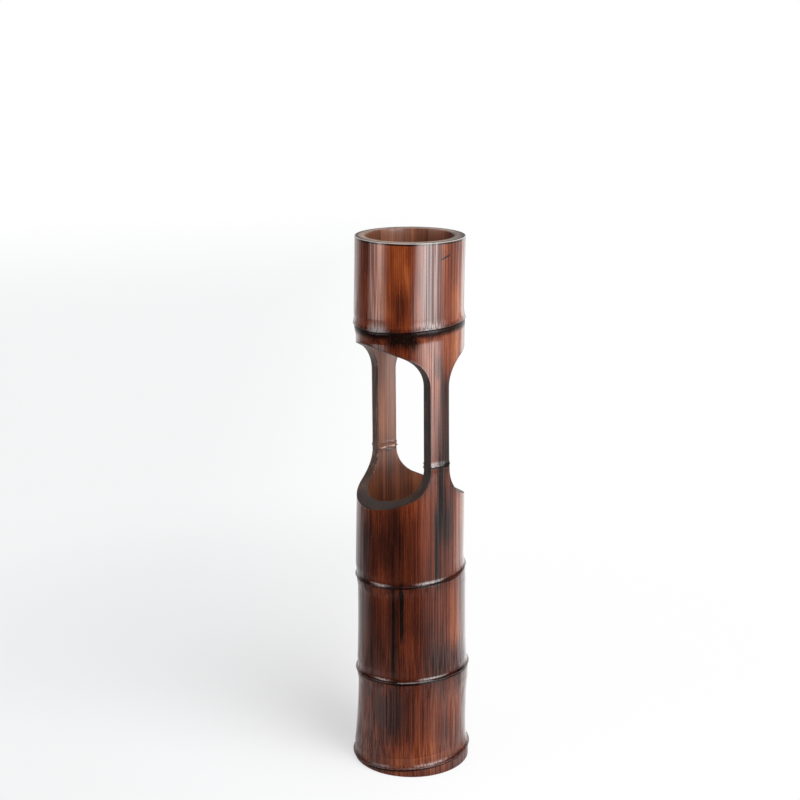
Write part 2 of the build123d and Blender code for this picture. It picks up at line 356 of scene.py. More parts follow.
# %% The upper cup's wall
cup_floor_height = upper_node_height + diaphragm_rise + diaphragm_thickness
no_scar_near = 0.5


def cup_wall(name, skin_rows=24, rim_rows=9, bore_rows=12):
    up = ladder(0, 1, skin_rows)[:-1]
    outer = np.stack([cup_skin.point(np.full_like(TURN, s), TURN) for s in up])
    rim_out = cup_skin.point(np.ones_like(TURN), TURN)
    rim_in = bore_ring(cup_bore_radius, cup_axis, TURN, mouth_height)
    spoke = (rim_in - rim_out) / np.linalg.norm(rim_in - rim_out, axis=-1, keepdims=True)
    rim_out[:, 2] -= rim_sanding
    rim_in[:, 2] -= rim_sanding
    drop = np.array([0, 0, mouth_ease])
    out_edge, in_edge = rim_out - drop, rim_in - drop
    face_out, face_in = rim_out + spoke * mouth_ease, rim_in - spoke * mouth_ease
    low = bore_ring(cup_bore_radius, cup_axis, TURN, cup_skin.low)
    loop = np.concatenate([
        outer, out_edge[None], eased_corner(out_edge, rim_out, face_out),
        between(face_out, face_in, rim_rows),
        eased_corner(face_in, rim_in, in_edge), between(in_edge, low, bore_rows)])
    finish = ([SKIN] * (skin_rows + ease_rows) + [SAWN] * (rim_rows - 1)
              + [BORE] * (ease_rows + bore_rows) + [JOINT])
    above = flare_height + (loop[..., 2] - cup_skin.low.centre[2])
    below = np.full(len(loop), no_scar_near)
    skin = [1.0] * skin_rows + [0.0] * (len(loop) - skin_rows)
    return hoop(name, loop, finish, above, below, skin)


upper_cup_wall = cup_wall("upper_cup_wall")


# %% [markdown]
# ## The rings at the nodes
# At a node the wall swells to a ridge, drops over a sharp lip, and steps in under the scar that
# the culm sheath left. The outline is turned about the node's own axis. Real scars wander up and
# down by a millimetre, so a few slow waves bend the outline near the scar, and fade out before
# the slices where the ring meets its walls.

# %% Outline of a node
def node_outline(above_radius, ridge, below_radius, crown, flare, taper, hollow, whole=True):
    """Radius and height along a node's outline, from its top slice to its bottom one."""
    t = np.linspace(0, 1, 19)
    # the ridge is hollow above and steepest at its lip, so light gathers in a thin line there
    radius = [above_radius + (ridge - above_radius) * t ** hollow]
    height = [flare + (crown - flare) * t]
    lip = ridge - lip_drop
    t = np.linspace(0, 1, 9)[1:]
    reach = math.hypot(lip_drop, crown)
    steep = hollow * (ridge - above_radius) / (flare - crown)
    start = reach / math.hypot(steep, 1.0)
    h10, h01, h11 = t ** 3 - 2 * t ** 2 + t, smooth(t), t ** 3 - t ** 2
    diagonal = reach * math.sqrt(0.5)
    radius.append(ridge + (lip - ridge) * h01 + start * steep * h10 - diagonal * h11)
    height.append(crown * (1 - h01) - start * h10 - diagonal * h11)
    if whole:
        t = np.linspace(0, 1, 5)[1:]
        radius.append(lip - scar_depth * smooth(t))
        height.append(-scar_width / 2 * t)
        radius.append(lip - scar_depth + (scar_depth - scar_step) * t)
        height.append(-scar_width / 2 * (1 + t))
        under = lip - scar_step
        t = np.linspace(0, 1, 16)[1:]
        radius.append(under + (below_radius - under) * smooth(t))
        height.append(-scar_width + (scar_width - taper) * t)
    return np.concatenate(radius), np.concatenate(height)


print("a ridge drops %.1f mm at its lip, over a scar %.1f mm wide" % (
    lip_drop / MM, scar_width / MM))


# %% A ring at a node
def waves(angle, seed, size):
    """A closed, uneven line round the culm: slow swells with finer ones on them."""
    chance = np.random.default_rng(seed)
    line = np.zeros_like(angle)
    for count, share in ((2, 0.5), (3, 0.45), (5, 0.35), (9, 0.2), (17, 0.1), (31, 0.05)):
        line = line + share * np.sin(count * angle + chance.uniform(0, 2 * np.pi))
    return size * line


def node_ring(name, node, above_radius, stand, below_radius, crown, hollow, upper_bore, lower_bore,
              ledge, floor, seed, flare=flare_height, taper=taper_height, whole=True):
    """A ring with the socket of its diaphragm turned into its bore."""
    radius, height = node_outline(above_radius, above_radius + stand, below_radius,
                                  crown, flare, taper, hollow, whole)
    reach = min(flare, taper)
    fade = np.clip(1 - (height / reach) ** 2, 0, 1)[:, None] ** 2
    if not whole:
        fade = fade * np.clip(height / (3 * MM), 0, 1)[:, None]
    rise = height[:, None] + fade * waves(TURN, seed, 0.7 * MM)
    radius = radius[:, None] - fade * (0.2 * MM + waves(TURN, seed + 50, 0.12 * MM))
    outer = node.ring(radius, np.broadcast_to(TURN, rise.shape), rise)
    (top_radius, top_axis), (low_radius, low_axis) = upper_bore, lower_bore
    root = top_radius + diaphragm_root
    bottom = node.offset(-taper) if whole else node
    inner = [bore_ring(low_radius, low_axis, TURN, bottom),
             bore_ring(low_radius, low_axis, TURN, ledge),
             bore_ring(root, top_axis, TURN, ledge), bore_ring(root, top_axis, TURN, floor),
             bore_ring(top_radius, top_axis, TURN, floor),
             bore_ring(top_radius, top_axis, TURN, node.offset(flare))]
    loop = np.concatenate([outer, np.stack(inner)])
    scar = np.concatenate([height, [-taper, 0, 0, 0, flare, flare]])
    finish = [SKIN] * (len(height) - 1) + [JOINT, BORE, JOINT, JOINT, JOINT, BORE, JOINT]
    return hoop(name, loop, finish, scar, -scar, [1.0] * len(height) + [0.0] * 6)


# %% The four rings
cup_bore, window_bore = (cup_bore_radius, cup_axis), (window_bore_radius, window_axis)
lower_cavity, base_cavity = (lower_cavity_radius, lower_axis), (base_cavity_radius, base_axis)
ledges = {n: s.offset(diaphragm_rise) for n, s in (
    ("upper", upper_node), ("middle", middle_node), ("lower", lower_node), ("base", base_node))}
floors = {n: s.offset(diaphragm_thickness) for n, s in ledges.items()}
floors["upper"] = node_slice(cup_floor_height, sway=-3.0 * MM)

# the node, then in mm the radius above it, how far its ridge stands out, the radius below it and
# how high the ridge's crown is, how hollow the ridge is, the bores above and below, and its waves
for which, node, above_mm, stand_mm, below_mm, crown_mm, hollow, upper, lower, seed in (
        ("upper", upper_node, 59.5, 1.7, 58.9, 1.0, 2.6, cup_bore, window_bore, 3),
        ("middle", middle_node, 60.5, 2.0, 60.7, 0.9, 8.0, window_bore, lower_cavity, 5),
        ("lower", lower_node, 61.9, 2.6, 62.5, 1.5, 7.5, lower_cavity, base_cavity, 8),
        ("base", base_node, 64.0, 2.95, foot_radius / MM, 1.8, 5.5,
         base_cavity, (foot_recess_radius, foot_axis), 13)):
    node_ring(which + "_node_ring", node, above_mm * MM, stand_mm * MM, below_mm * MM,
              crown_mm * MM, hollow, upper, lower, ledges[which], floors[which], seed,
              whole=which != "base")


# %% [markdown]
# ## The foot
# Below the last scar the maker left a short stub and sawed it level, so the vase stands on a
# ring. Its outer edge is eased, and its inside is the open recess under the lowest diaphragm.

# %% The foot ring
def foot(name, sole_rows=7):
    top = base_node.level(foot_radius * np.cos(TURN), foot_radius * np.sin(TURN))
    outer = [bore_ring(foot_radius - 0.5 * MM * s, foot_axis, TURN, top * (1 - t) + foot_ease * t)
             for t, s in ((0, 1), (0.12, 0.6), (0.3, 0), (0.65, 0), (1, 0))]
    corner = bore_ring(foot_radius, foot_axis, TURN, 0.0)
    under = bore_ring(foot_radius - foot_ease, foot_axis, TURN, 0.0)
    inside = bore_ring(foot_recess_radius, foot_axis, TURN, 0.0)
    recess = bore_ring(foot_recess_radius, foot_axis, TURN, base_node)
    loop = np.concatenate([np.stack(outer), eased_corner(outer[-1], corner, under),
                           between(under, inside, sole_rows), recess[None]])
    finish = [SKIN] * (len(outer) + ease_rows) + [SAWN] * (sole_rows - 1) + [BORE, JOINT]
    scar = base_node.up_to(loop)
    skin = [1.0] * len(outer) + [0.0] * (len(loop) - len(outer))
    return hoop(name, loop, finish, scar, -scar, skin)


foot("foot_ring")


# %% [markdown]
# ## The diaphragms
# A disc of hard wood closes the culm at each node. The upper two are the floors of the cups. Each
# is a closed disc of rings about the bore's axis, dished on both faces, and its pole is one
# point.

# %% The diaphragms
def diaphragm(name, radius, axis, ledge, floor, turns=144):
    root = radius + diaphragm_root
    rim = radius - diaphragm_rim_width
    steps = np.concatenate([np.linspace(0, rim, 14)[1:], np.linspace(rim, root, 5)[1:]])
    turn = np.linspace(0, 2 * np.pi, turns, endpoint=False)

    def face(level, dish):
        rings = []
        for r in np.concatenate([[0.0], steps]):
            ring = bore_ring(r, axis, turn, level)
            away = np.hypot(ring[:, 0] - level.centre[0], ring[:, 1] - level.centre[1])
            ring[:, 2] += dish * (1 - smooth(np.clip(away / rim, 0, 1)))
            rings.append(ring)
        return np.stack(rings)

    top, under = face(floor, -floor_dish_depth), face(ledge, underside_dish_depth)
    rows = len(steps)
    points = np.concatenate([top[0, :1], top[1:].reshape(-1, 3),
                             under[0, :1], under[1:].reshape(-1, 3)])
    second = 1 + rows * turns
    faces = []
    for start in (0, second):
        grid = start + 1 + np.arange(rows * turns).reshape(rows, turns)
        on = np.roll(grid, -1, axis=1)
        fan = np.stack([np.full(turns, start), grid[0], on[0], on[0]], axis=-1)
        rest = np.stack([grid[:-1], grid[1:], on[1:], on[:-1]], axis=-1).reshape(-1, 4)
        side = np.concatenate([fan, rest])
        faces.append(side if start else side[:, ::-1])
    a = 1 + (rows - 1) * turns + np.arange(turns)
    b = a + second
    faces.append(np.stack([np.roll(a, -1), a, b, np.roll(b, -1)], axis=-1)[:, ::-1])
    faces = np.concatenate(faces)
    far = np.full(len(points), no_scar_near)
    return solid(name, points, faces, np.full(len(faces), FLOOR), far, far, 0 * far)


for which, bore in (("upper", cup_bore), ("middle", window_bore), ("lower", lower_cavity),
                    ("base", base_cavity)):
    diaphragm(which + "_diaphragm", *bore, ledges[which], floors[which])


# %% [markdown]
# ## The path of the saw
# Each window is one path through the culm, seen from the side: a sloping top, a large curve into
# the post, the post's face, and a large curve out to a sloping sill. It is drawn once per side as
# a chain of points. A second chain, a hair inside the wood, is where the skin stops and the eased
# edge begins.

# %% The path of the saw
class SawPath:
    """One window's outline, as distance from the axis plane and height, from top to sill."""

    def __init__(self, post_top, post_foot, step=0.8 * MM):
        reach, wall = 75.0 * MM, 58.9 * MM
        top_slope = (window_top_height - window_shoulder_height) / (wall - post_top)
        sill_slope = (sill_shoulder_height - sill_height) / (wall - post_foot)
        corners = np.array([
            (reach, window_shoulder_height + top_slope * (reach - post_top)),
            (post_top, window_shoulder_height), (post_foot, sill_shoulder_height),
            (reach, sill_shoulder_height - sill_slope * (reach - post_foot))])
        chain, self.arcs = [corners[:1]], []
        for k, radius in ((1, top_curve_radius), (2, sill_curve_radius)):
            into, out = corners[k] - corners[k - 1], corners[k + 1] - corners[k]
            into, out = into / np.linalg.norm(into), out / np.linalg.norm(out)
            turn = math.acos(into @ out)
            start = corners[k] - into * radius * math.tan(turn / 2)
            side = np.array([-into[1], into[0]]) * np.sign(into[0] * out[1] - into[1] * out[0])
            last = chain[-1][-1]
            t = np.linspace(0, 1, int(np.linalg.norm(start - last) / (2 * step)))[1:-1, None]
            chain.append(last * (1 - t) + start * t)
            self.arcs.append(sum(len(c) for c in chain))
            t = np.linspace(0, turn, int(radius * turn / step))[:, None]
            chain.append(start + radius * (np.sin(t) * into + (1 - np.cos(t)) * side))
            self.arcs.append(sum(len(c) for c in chain))
        t = np.linspace(0, 1, 20)[1:, None]
        chain.append(chain[-1][-1] * (1 - t) + corners[3] * t)
        self.sharp = np.concatenate(chain)
        along = np.gradient(self.sharp, axis=0)
        along /= np.linalg.norm(along, axis=1, keepdims=True)
        self.eased = self.sharp + saw_ease * np.stack([along[:, 1], -along[:, 0]], axis=1)

    def half_width(self, height, eased=False):
        """How far the post's face stands from the axis plane at a height."""
        line = (self.eased if eased else self.sharp)[::-1]
        return np.interp(height, line[:, 1], line[:, 0])

    def _side(self, line, top):
        return line[:self.arcs[1]][::-1] if top else line[self.arcs[2]:]

    def cut_height(self, across, top, eased=False):
        """The height of the window's top or sill at a distance from the axis plane."""
        line = self._side(self.eased if eased else self.sharp, top)
        return np.interp(across, line[:, 0], line[:, 1])

    def stops(self, top, start, stop):
        """The path's own distances between two limits, close together where it curves."""
        line = self._side(self.sharp, top)
        return line[(line[:, 0] > start) & (line[:, 0] < stop), 0]


front_saw = SawPath(front_post_top, front_post_foot)
back_saw = SawPath(back_post_top, back_post_foot)
print("posts are %.1f mm wide half-way up" % ((
    front_saw.half_width(0.41) + back_saw.half_width(0.41)) / MM))


# %% [markdown]
# ## The collar and the lower cup
# Both are walls with one whole end and one sawn end. The saw ran straight through, so its face is
# level across the wall. Near the posts the grid's columns therefore run straight across the wall
# too, which keeps the sawn edges crisp, and further round they fan out along the culm's spokes.

# %% One quarter of a sawn wall
collar_skin_rows, face_rows, collar_bore_rows = 22, 11, 12


def sawn_quarter(skin, radius, axis, end, joint, top, right, saw, sign, first, last):
    """Columns from the axis plane outwards; joint gives the height where a post carries on."""
    hand = 1 if right else -1
    level = joint(52 * MM * hand, 15 * MM * sign)
    flat, eased = saw.half_width(level), saw.half_width(level, True)
    y = sign * np.concatenate([
        np.linspace(0, eased, 6)[0 if first else 1:], [(eased + flat) / 2, flat],
        saw.stops(top, flat + 0.2 * MM, 37.0 * MM)])
    share = np.linspace(0, 1, 34)[1:] if last else np.linspace(0, 1, 34)[1:-1]
    edge = skin.at_side(right, y[-1:], np.array([level]))[0]
    here = skin.low.centre + (skin.high.centre - skin.low.centre) * (
        (level - skin.low.centre[2]) / (skin.high.centre[2] - skin.low.centre[2]))
    begin = math.asin(abs(edge[1] - here[1]) / math.hypot(*(edge - here)[:2]))
    begin_in = math.asin(abs(y[-1] - axis[1]) / radius)
    turn, turn_in = (sign * (b + (math.pi / 2 - b) * share) for b in (begin, begin_in))
    if not right:
        turn, turn_in = math.pi - turn, math.pi - turn_in
    near = len(y)

    def outer(height):
        return np.concatenate([skin.at_side(right, y, height[:near]),
                               skin.at(turn, height[near:])])

    def inner(height):
        x = axis[0] + hand * np.sqrt(radius ** 2 - (y - axis[1]) ** 2)
        x = np.concatenate([x, axis[0] + radius * np.cos(turn_in)])
        across = np.concatenate([y, axis[1] + radius * np.sin(turn_in)])
        return np.stack([x, across, height], axis=-1)

    def cut(spot, eased=False):
        height = saw.cut_height(np.abs(spot[:, 1]), top, eased)
        limit = joint(spot[:, 0], spot[:, 1])
        return np.maximum(height, limit) if top else np.minimum(height, limit)

    start = np.full(near + len(turn), level)
    out_edge = outer(start)
    for _ in range(3):
        out_edge = outer(cut(out_edge, True))
    out_corner = outer(cut(out_edge))
    in_corner, in_edge = inner(start), inner(start)
    in_edge[:, 2], in_corner[:, 2] = cut(in_corner, True), cut(in_corner)
    spoke = (in_corner - out_corner) * [1, 1, 0]
    spoke *= saw_ease / np.linalg.norm(spoke, axis=1, keepdims=True)
    face = []
    for t in np.linspace(0, 1, face_rows):
        spot = (out_corner + spoke) * (1 - t) + (in_corner - spoke) * t
        spot[:, 2] = cut(spot)
        face.append(spot)
    skin_rows = []
    for t in ladder(1, 0, collar_skin_rows)[:-1]:
        spot = out_edge
        for _ in range(3):
            spot = outer(out_edge[:, 2] * (1 - t) + end.level_at(spot) * t)
        skin_rows.append(spot)
    far_end = in_edge.copy()
    far_end[:, 2] = end.level_at(in_edge)
    return np.concatenate([
        np.stack(skin_rows), out_edge[None], eased_corner(out_edge, out_corner, face[0]),
        np.stack(face), eased_corner(face[-1], in_corner, in_edge),
        between(in_edge, far_end, collar_bore_rows)])


print("rows round a sawn wall's section:",
      collar_skin_rows + face_rows + collar_bore_rows + 2 * ease_rows)


# %% The collar and the lower cup's wall
def sawn_wall(name, skin, radius, axis, end, joint, top, scars):
    quarters = [
        sawn_quarter(skin, radius, axis, end, joint, top, right, saw, sign, first, last)
        for right, saw, sign, first, last in (
            (True, back_saw, 1, True, True), (False, back_saw, 1, True, False),
            (False, front_saw, -1, False, True), (True, front_saw, -1, False, False))]
    loop = np.concatenate([quarters[0], quarters[1][:, ::-1],
                           quarters[2], quarters[3][:, ::-1]], axis=1)
    finish = ([SKIN] * (collar_skin_rows - 1) + [SAWN] * (face_rows + 2 * ease_rows + 1)
              + [BORE] * (collar_bore_rows - 1) + [JOINT])
    skin_share = [1.0] * collar_skin_rows + [0.0] * (len(loop) - collar_skin_rows)
    return hoop(name, loop, finish, scars[0].up_to(loop), -scars[1].up_to(loop), skin_share)


sawn_wall("window_collar", window_skin, *window_bore, window_skin.high,
          lambda x, y: window_shoulder_height + 0 * x, True, (window_node, upper_node))
sawn_wall("lower_cup_wall", lower_cup_skin, *window_bore, lower_cup_skin.low,
          window_node.offset(-window_taper_height).level, False, (middle_node, window_node))

# %% [markdown]
# ## The posts
# A post is what two windows leave of the wall. Its section is a short piece of the ring with two
# sawn faces and four eased edges, and it is stacked row on row, wider at the head and foot where
# the saw's curves run in.

# %% One section of a post
skin_points, face_points, bore_points = 24, 6, 40


def post_section(outer, inner, hand, height):
    """One closed loop round a post: skin, back face, bore, front face."""
    front, front_eased, back, back_eased = (
        -front_saw.half_width(height), -front_saw.half_width(height, True),
        back_saw.half_width(height), back_saw.half_width(height, True))
    skin_line = outer(np.linspace(front_eased, back_eased, skin_points))
    bore_line = inner(np.linspace(back_eased, front_eased, bore_points))
    out_corners, in_corners = outer(np.array([back, front])), inner(np.array([back, front]))
    ease = np.array([hand * saw_ease, 0, 0])
    t = np.linspace(0, 1, face_points)[:, None]
    back_face, front_face = (
        (a - ease) * (1 - t) + (b + ease) * t for a, b in zip(out_corners, in_corners))
    front_face = front_face[::-1]

    def corner(a, b, c):
        return eased_corner(a[None], b[None], c[None])[:, 0]

    return np.concatenate([
        skin_line, corner(skin_line[-1], out_corners[0], back_face[0]),
        back_face, corner(back_face[-1], in_corners[0], bore_line[0]),
        bore_line, corner(bore_line[-1], in_corners[1], front_face[0]),
        front_face, corner(front_face[-1], out_corners[1], skin_line[0])])


print("points round a post:", skin_points + bore_points + 2 * face_points + 4 * ease_rows)


# %% Sections stacked into a solid
def stack(name, rows, above, below):
    """A closed solid from post sections, with a fan over each end."""
    rows = np.asarray(rows)
    count, around = rows.shape[:2]
    number = np.arange(count * around).reshape(count, around)
    on = np.roll(number, -1, axis=1)
    sides = np.stack([number[:-1], number[1:], on[1:], on[:-1]], axis=-1).reshape(-1, 4)
    low, high = count * around, count * around + 1
    caps = [np.stack([np.full(around, hub), a, b, b], axis=-1) for hub, a, b in (
        (low, number[0], on[0]), (high, on[-1], number[-1]))]
    points = np.concatenate([rows.reshape(-1, 3), rows[0].mean(0)[None], rows[-1].mean(0)[None]])
    faces = np.concatenate([sides] + caps)
    side_face = [SAWN] * (face_points + 2 * ease_rows + 1)
    band = [SKIN] * (skin_points - 1) + side_face + [BORE] * (bore_points - 1) + side_face
    finish = np.concatenate([np.tile(band, count - 1), np.full(2 * around, JOINT)])
    skin = np.append(np.tile(
        [1.0] * skin_points + [0.0] * (around - skin_points), count), [0.0, 0.0])
    above, below = (np.append(v, [v[0], v[-1]]) for v in (above.ravel(), below.ravel()))
    return solid(name, points, faces, finish, above, below, skin)


# %% The two posts
def post(name, right):
    hand = 1 if right else -1
    foot_slice, head = window_skin.low, window_shoulder_height
    foot_height = foot_slice.centre[2]
    curve = front_saw.sharp[front_saw.arcs[0]:front_saw.arcs[1], 1]
    heights = np.concatenate([[head], curve[(curve < head - 0.2 * MM)],
                              np.linspace(curve[-1], foot_height, 30)[1:]])
    rows = []
    for height in heights:
        lean = (head - height) / (head - foot_height)

        def conform(spot, height=height, lean=lean):
            return height + lean * (foot_slice.level_at(spot) - foot_height)

        def outer(y, height=height):
            spot = window_skin.at_side(right, y, np.full_like(y, height))
            return window_skin.at_side(right, y, conform(spot))

        def inner(y):
            x = window_axis[0] + hand * np.sqrt(
                window_bore_radius ** 2 - (y - window_axis[1]) ** 2)
            spot = np.stack([x, y, y], axis=-1)
            spot[:, 2] = conform(spot)
            return spot

        rows.append(post_section(outer, inner, hand, height))
    points = np.stack(rows)
    return stack(name, points, window_node.up_to(points), -upper_node.up_to(points))


post("left_post", False)
post("right_post", True)

# %% [markdown]
# ## The window node on the posts
# The fifth node crosses the window, so only its two ends are left. Outside each is a short piece
# of ridge and scar. Inside, the maker knocked the diaphragm out, and its torn stump stays as two
# low, uneven ribs, which show on the far post in the photograph.

# %% The ends of the window node
def post_node(name, right, seed):
    hand = 1 if right else -1
    radius, height = node_outline(58.6 * MM, 60.0 * MM, 58.9 * MM, 0.8 * MM,
                                  window_flare_height, window_taper_height, 2.6)
    reach = window_taper_height
    start_angle = 0.0 if right else math.pi
    rows = []
    for r, h in zip(radius, height):
        fade = max(0.0, 1 - (h / reach) ** 2) ** 2

        def outer(y, r=r, h=h, fade=fade):
            angle = np.arcsin((y - window_node.centre[1]) / r)
            for _ in range(4):
                turn = angle if right else math.pi - angle
                rise = h + fade * waves(turn, seed, 0.5 * MM)
                spot = window_node.ring(np.full_like(y, r), turn, rise)
                angle = angle + (y - spot[:, 1]) / np.abs(spot[:, 0] - window_node.centre[0])
            return spot

        def inner(y, h=h, fade=fade):
            wobble = waves(y / (9 * MM) + start_angle, seed + 7, 1.1 * MM)
            tear = 1 + waves(y / (3 * MM) + start_angle, seed + 9, 0.55)
            rib = 0.7 * np.exp(-((h - 2.8 * MM - 0.6 * wobble) / (0.9 * MM)) ** 2)
            rib = rib + np.exp(-((h + 1.7 * MM - wobble) / (0.7 * MM)) ** 2)
            pocket = np.exp(-((h + 3.6 * MM - wobble) / (0.9 * MM)) ** 2 - (y / (5 * MM)) ** 2)
            bump = stump_depth * fade * np.clip(
                0.75 * rib * tear + 0.15 * fade - 0.35 * pocket, -0.4, 1.1)
            ridge = window_bore_radius - bump
            x = window_axis[0] + hand * np.sqrt(ridge ** 2 - (y - window_axis[1]) ** 2)
            return np.stack([x, y, window_node.level(x, y) + h], axis=-1)

        rows.append(post_section(outer, inner, hand, window_node_height + h))
    above = np.repeat(height[:, None], len(rows[0]), axis=1)
    return stack(name, rows, above, -above)


post_node("left_post_node", False, 21)
post_node("right_post_node", True, 34)


# %% [markdown]
# ## A bench for node trees
# The finishes and the two Geometry Nodes trees below are built in code. A small bench keeps that
# readable: one call places a node and either wires or sets each input by name, and short calls
# such as times and plus place the sums. A group is made the same way, with named inputs.

# %% A bench for node trees
class Bench:
    def __init__(self, tree):
        self.tree = tree

    def add(self, kind, inputs=None, **settings):
        node = self.tree.nodes.new(kind)
        for key, value in settings.items():
            setattr(node, key, value)
        for key, value in (inputs or {}).items():
            self.feed(node.inputs[key], value)
        return node

    def feed(self, socket, value):
        if isinstance(value, bpy.types.NodeSocket):
            self.tree.links.new(value, socket)
        else:
            socket.default_value = value

    def sum(self, operation, *values, clamp=False):
        """A Math node's answer; a clamped one stays between 0 and 1."""
        node = self.add("ShaderNodeMath", operation=operation, use_clamp=clamp)
        for socket, value in zip(node.inputs, values):
            self.feed(socket, value)
        return node.outputs[0]

    def times(self, first, second, *others):
        product = self.sum("MULTIPLY", first, second)
        return self.times(product, *others) if others else product

    def plus(self, first, second, clamp=False):
        return self.sum("ADD", first, second, clamp=clamp)

    def minus(self, first, second):
        return self.sum("SUBTRACT", first, second)

    def larger(self, first, second):
        return self.sum("MAXIMUM", first, second)

    def times_plus(self, first, second, third, clamp=False):
        """The first times the second, plus the third."""
        return self.sum("MULTIPLY_ADD", first, second, third, clamp=clamp)

    def span(self, value, low, high, to_low=0.0, to_high=1.0, smoothly=True):
        """Carry a value from one range to another, easing in and out."""
        node = self.add("ShaderNodeMapRange", {
            "Value": value, "From Min": low, "From Max": high, "To Min": to_low,
            "To Max": to_high}, interpolation_type="SMOOTHSTEP" if smoothly else "LINEAR")
        return node.outputs["Result"]

    def far_from_axis(self, parts):
        """The distance from the upright axis of a point whose X and Y are given."""
        return self.sum("SQRT", self.plus(
            self.times(parts["X"], parts["X"]), self.times(parts["Y"], parts["Y"])))

    def blend(self, share, first, second):
        node = self.add("ShaderNodeMix", data_type="RGBA")
        for socket, value in ((0, share), (6, first), (7, second)):
            self.feed(node.inputs[socket], value)
        return node.outputs[2]

    def group(self, tree, inputs):
        return self.add("ShaderNodeGroup", inputs, node_tree=tree).outputs


print("the bench's calls:", [name for name in vars(Bench) if not name.startswith("_")])


# %% Node groups and colours
def new_group(name, takes, gives, kind="ShaderNodeTree"):
    """A node group; each input it takes has a start value, or else the sort of its socket."""
    tree = bpy.data.node_groups.new(name, kind)
    for label, start in takes.items():
        sort = start if isinstance(start, str) else "Int" if isinstance(start, int) else "Float"
        socket = tree.interface.new_socket(label, in_out="INPUT", socket_type="NodeSocket" + sort)
        if start != sort:
            socket.default_value = start
    for label in gives:
        sort = "Geometry" if label == "Geometry" else "Float"
        tree.interface.new_socket(label, in_out="OUTPUT", socket_type="NodeSocket" + sort)
    bench = Bench(tree)
    return bench, bench.add("NodeGroupInput").outputs, bench.add("NodeGroupOutput").inputs


def shade(red, green, blue):
    """A colour as a picture shows it (0 to 255), turned into the light values that nodes take."""
    return tuple(((v / 255 + 0.055) / 1.055) ** 2.4 if v > 10 else v / 255 / 12.92
                 for v in (red, green, blue)) + (1.0,)


print("a mid brown is written", [round(v, 3) for v in shade(98, 46, 22)])

# %% [markdown]
# ## Where a point is on the culm
# Flame marks, scars and fibre density all depend on where a point is round the culm, how high it
# is and how far from the axis. One group turns Object coordinates into those three, so that every
# finish agrees about them. Angles are in degrees, from +X towards +Y.

# %% Group: place on the culm
bench, given, gives = new_group("Place on the culm", {"Vector": "Vector"},
                               ["Angle", "Height", "Radius"])
parts = bench.add("ShaderNodeSeparateXYZ", {"Vector": given["Vector"]}).outputs
bench.feed(gives["Angle"], bench.times(
    bench.sum("ARCTAN2", parts["Y"], parts["X"]), math.degrees(1.0)))
bench.feed(gives["Height"], parts["Z"])
bench.feed(gives["Radius"], bench.far_from_axis(parts))
place_group = bench.tree
print("group:", place_group.name)

# %% [markdown]
# ## The fibres
# Bamboo has no rings or knots. It is a bundle of straight fibres, which show as fine lines along
# the skin and as dots where the culm is sawn across. Noise on coordinates that are squeezed along
# Z gives both at once: it draws lines on an upright face and dots on a level one.

# %% Group: bamboo fibres
bench, given, gives = new_group("Bamboo fibres", {
    "Vector": "Vector", "Streak width": 0.014, "Fibre width": 0.0016, "Streak stretch": 0.06,
    "Fibre stretch": 0.010}, ["Streak", "Fibre", "Line", "Cloud", "Pore"])


def squeezed_noise(bench, vector, width, stretch, detail, roughness, shift):
    moved = bench.add("ShaderNodeVectorMath", {0: vector, 1: (shift, shift / 2, shift / 3)},
                      operation="ADD").outputs[0]
    squeeze = bench.add("ShaderNodeCombineXYZ", {"X": 1.0, "Y": 1.0, "Z": stretch}).outputs[0]
    squeezed = bench.add("ShaderNodeVectorMath", {0: moved, 1: squeeze}, operation="MULTIPLY")
    scale = bench.sum("DIVIDE", 1.0, width)
    return bench.add("ShaderNodeTexNoise", {
        "Vector": squeezed.outputs[0], "Scale": scale, "Detail": detail,
        "Roughness": roughness}).outputs["Fac"]


for label, width, stretch, detail, rough, shift in (
        ("Streak", given["Streak width"], given["Streak stretch"], 1.6, 0.5, 0.3),
        ("Fibre", given["Fibre width"], given["Fibre stretch"], 2.0, 0.6, 1.1),
        ("Line", 0.0012, 0.0035, 1.0, 0.5, 3.7),
        ("Cloud", 0.034, 0.42, 3.0, 0.5, 2.3),
        ("Pore", 0.0007, 0.12, 1.0, 0.5, 4.2)):
    bench.feed(gives[label], bench.span(
        squeezed_noise(bench, given["Vector"], width, stretch, detail, rough, shift),
        0.30, 0.70, smoothly=False))
fibre_group = bench.tree
print("group:", fibre_group.name, "with", len(fibre_group.nodes), "nodes")

# %% [markdown]
# ## Flame marks
# The culm was browned over a flame. Oil in the skin ran and scorched in places, which left long
# streaks along the fibres, some orange and some nearly black. The larger ones are listed, each
# with its angle round the culm and its two heights; the ragged edge comes from the fibres.

# %% Group: one flame mark
bench, given, gives = new_group("Flame mark", {
    "Angle": 0.0, "Height": 0.0, "Ragged": 0.5, "Middle": 0.0, "Half width": 5.0, "Soft": 2.0,
    "Low": 0.0, "High": 0.1, "Fade": 0.01, "Slant": 0.0}, ["Mask"])
ragged = bench.minus(given["Ragged"], 0.5)
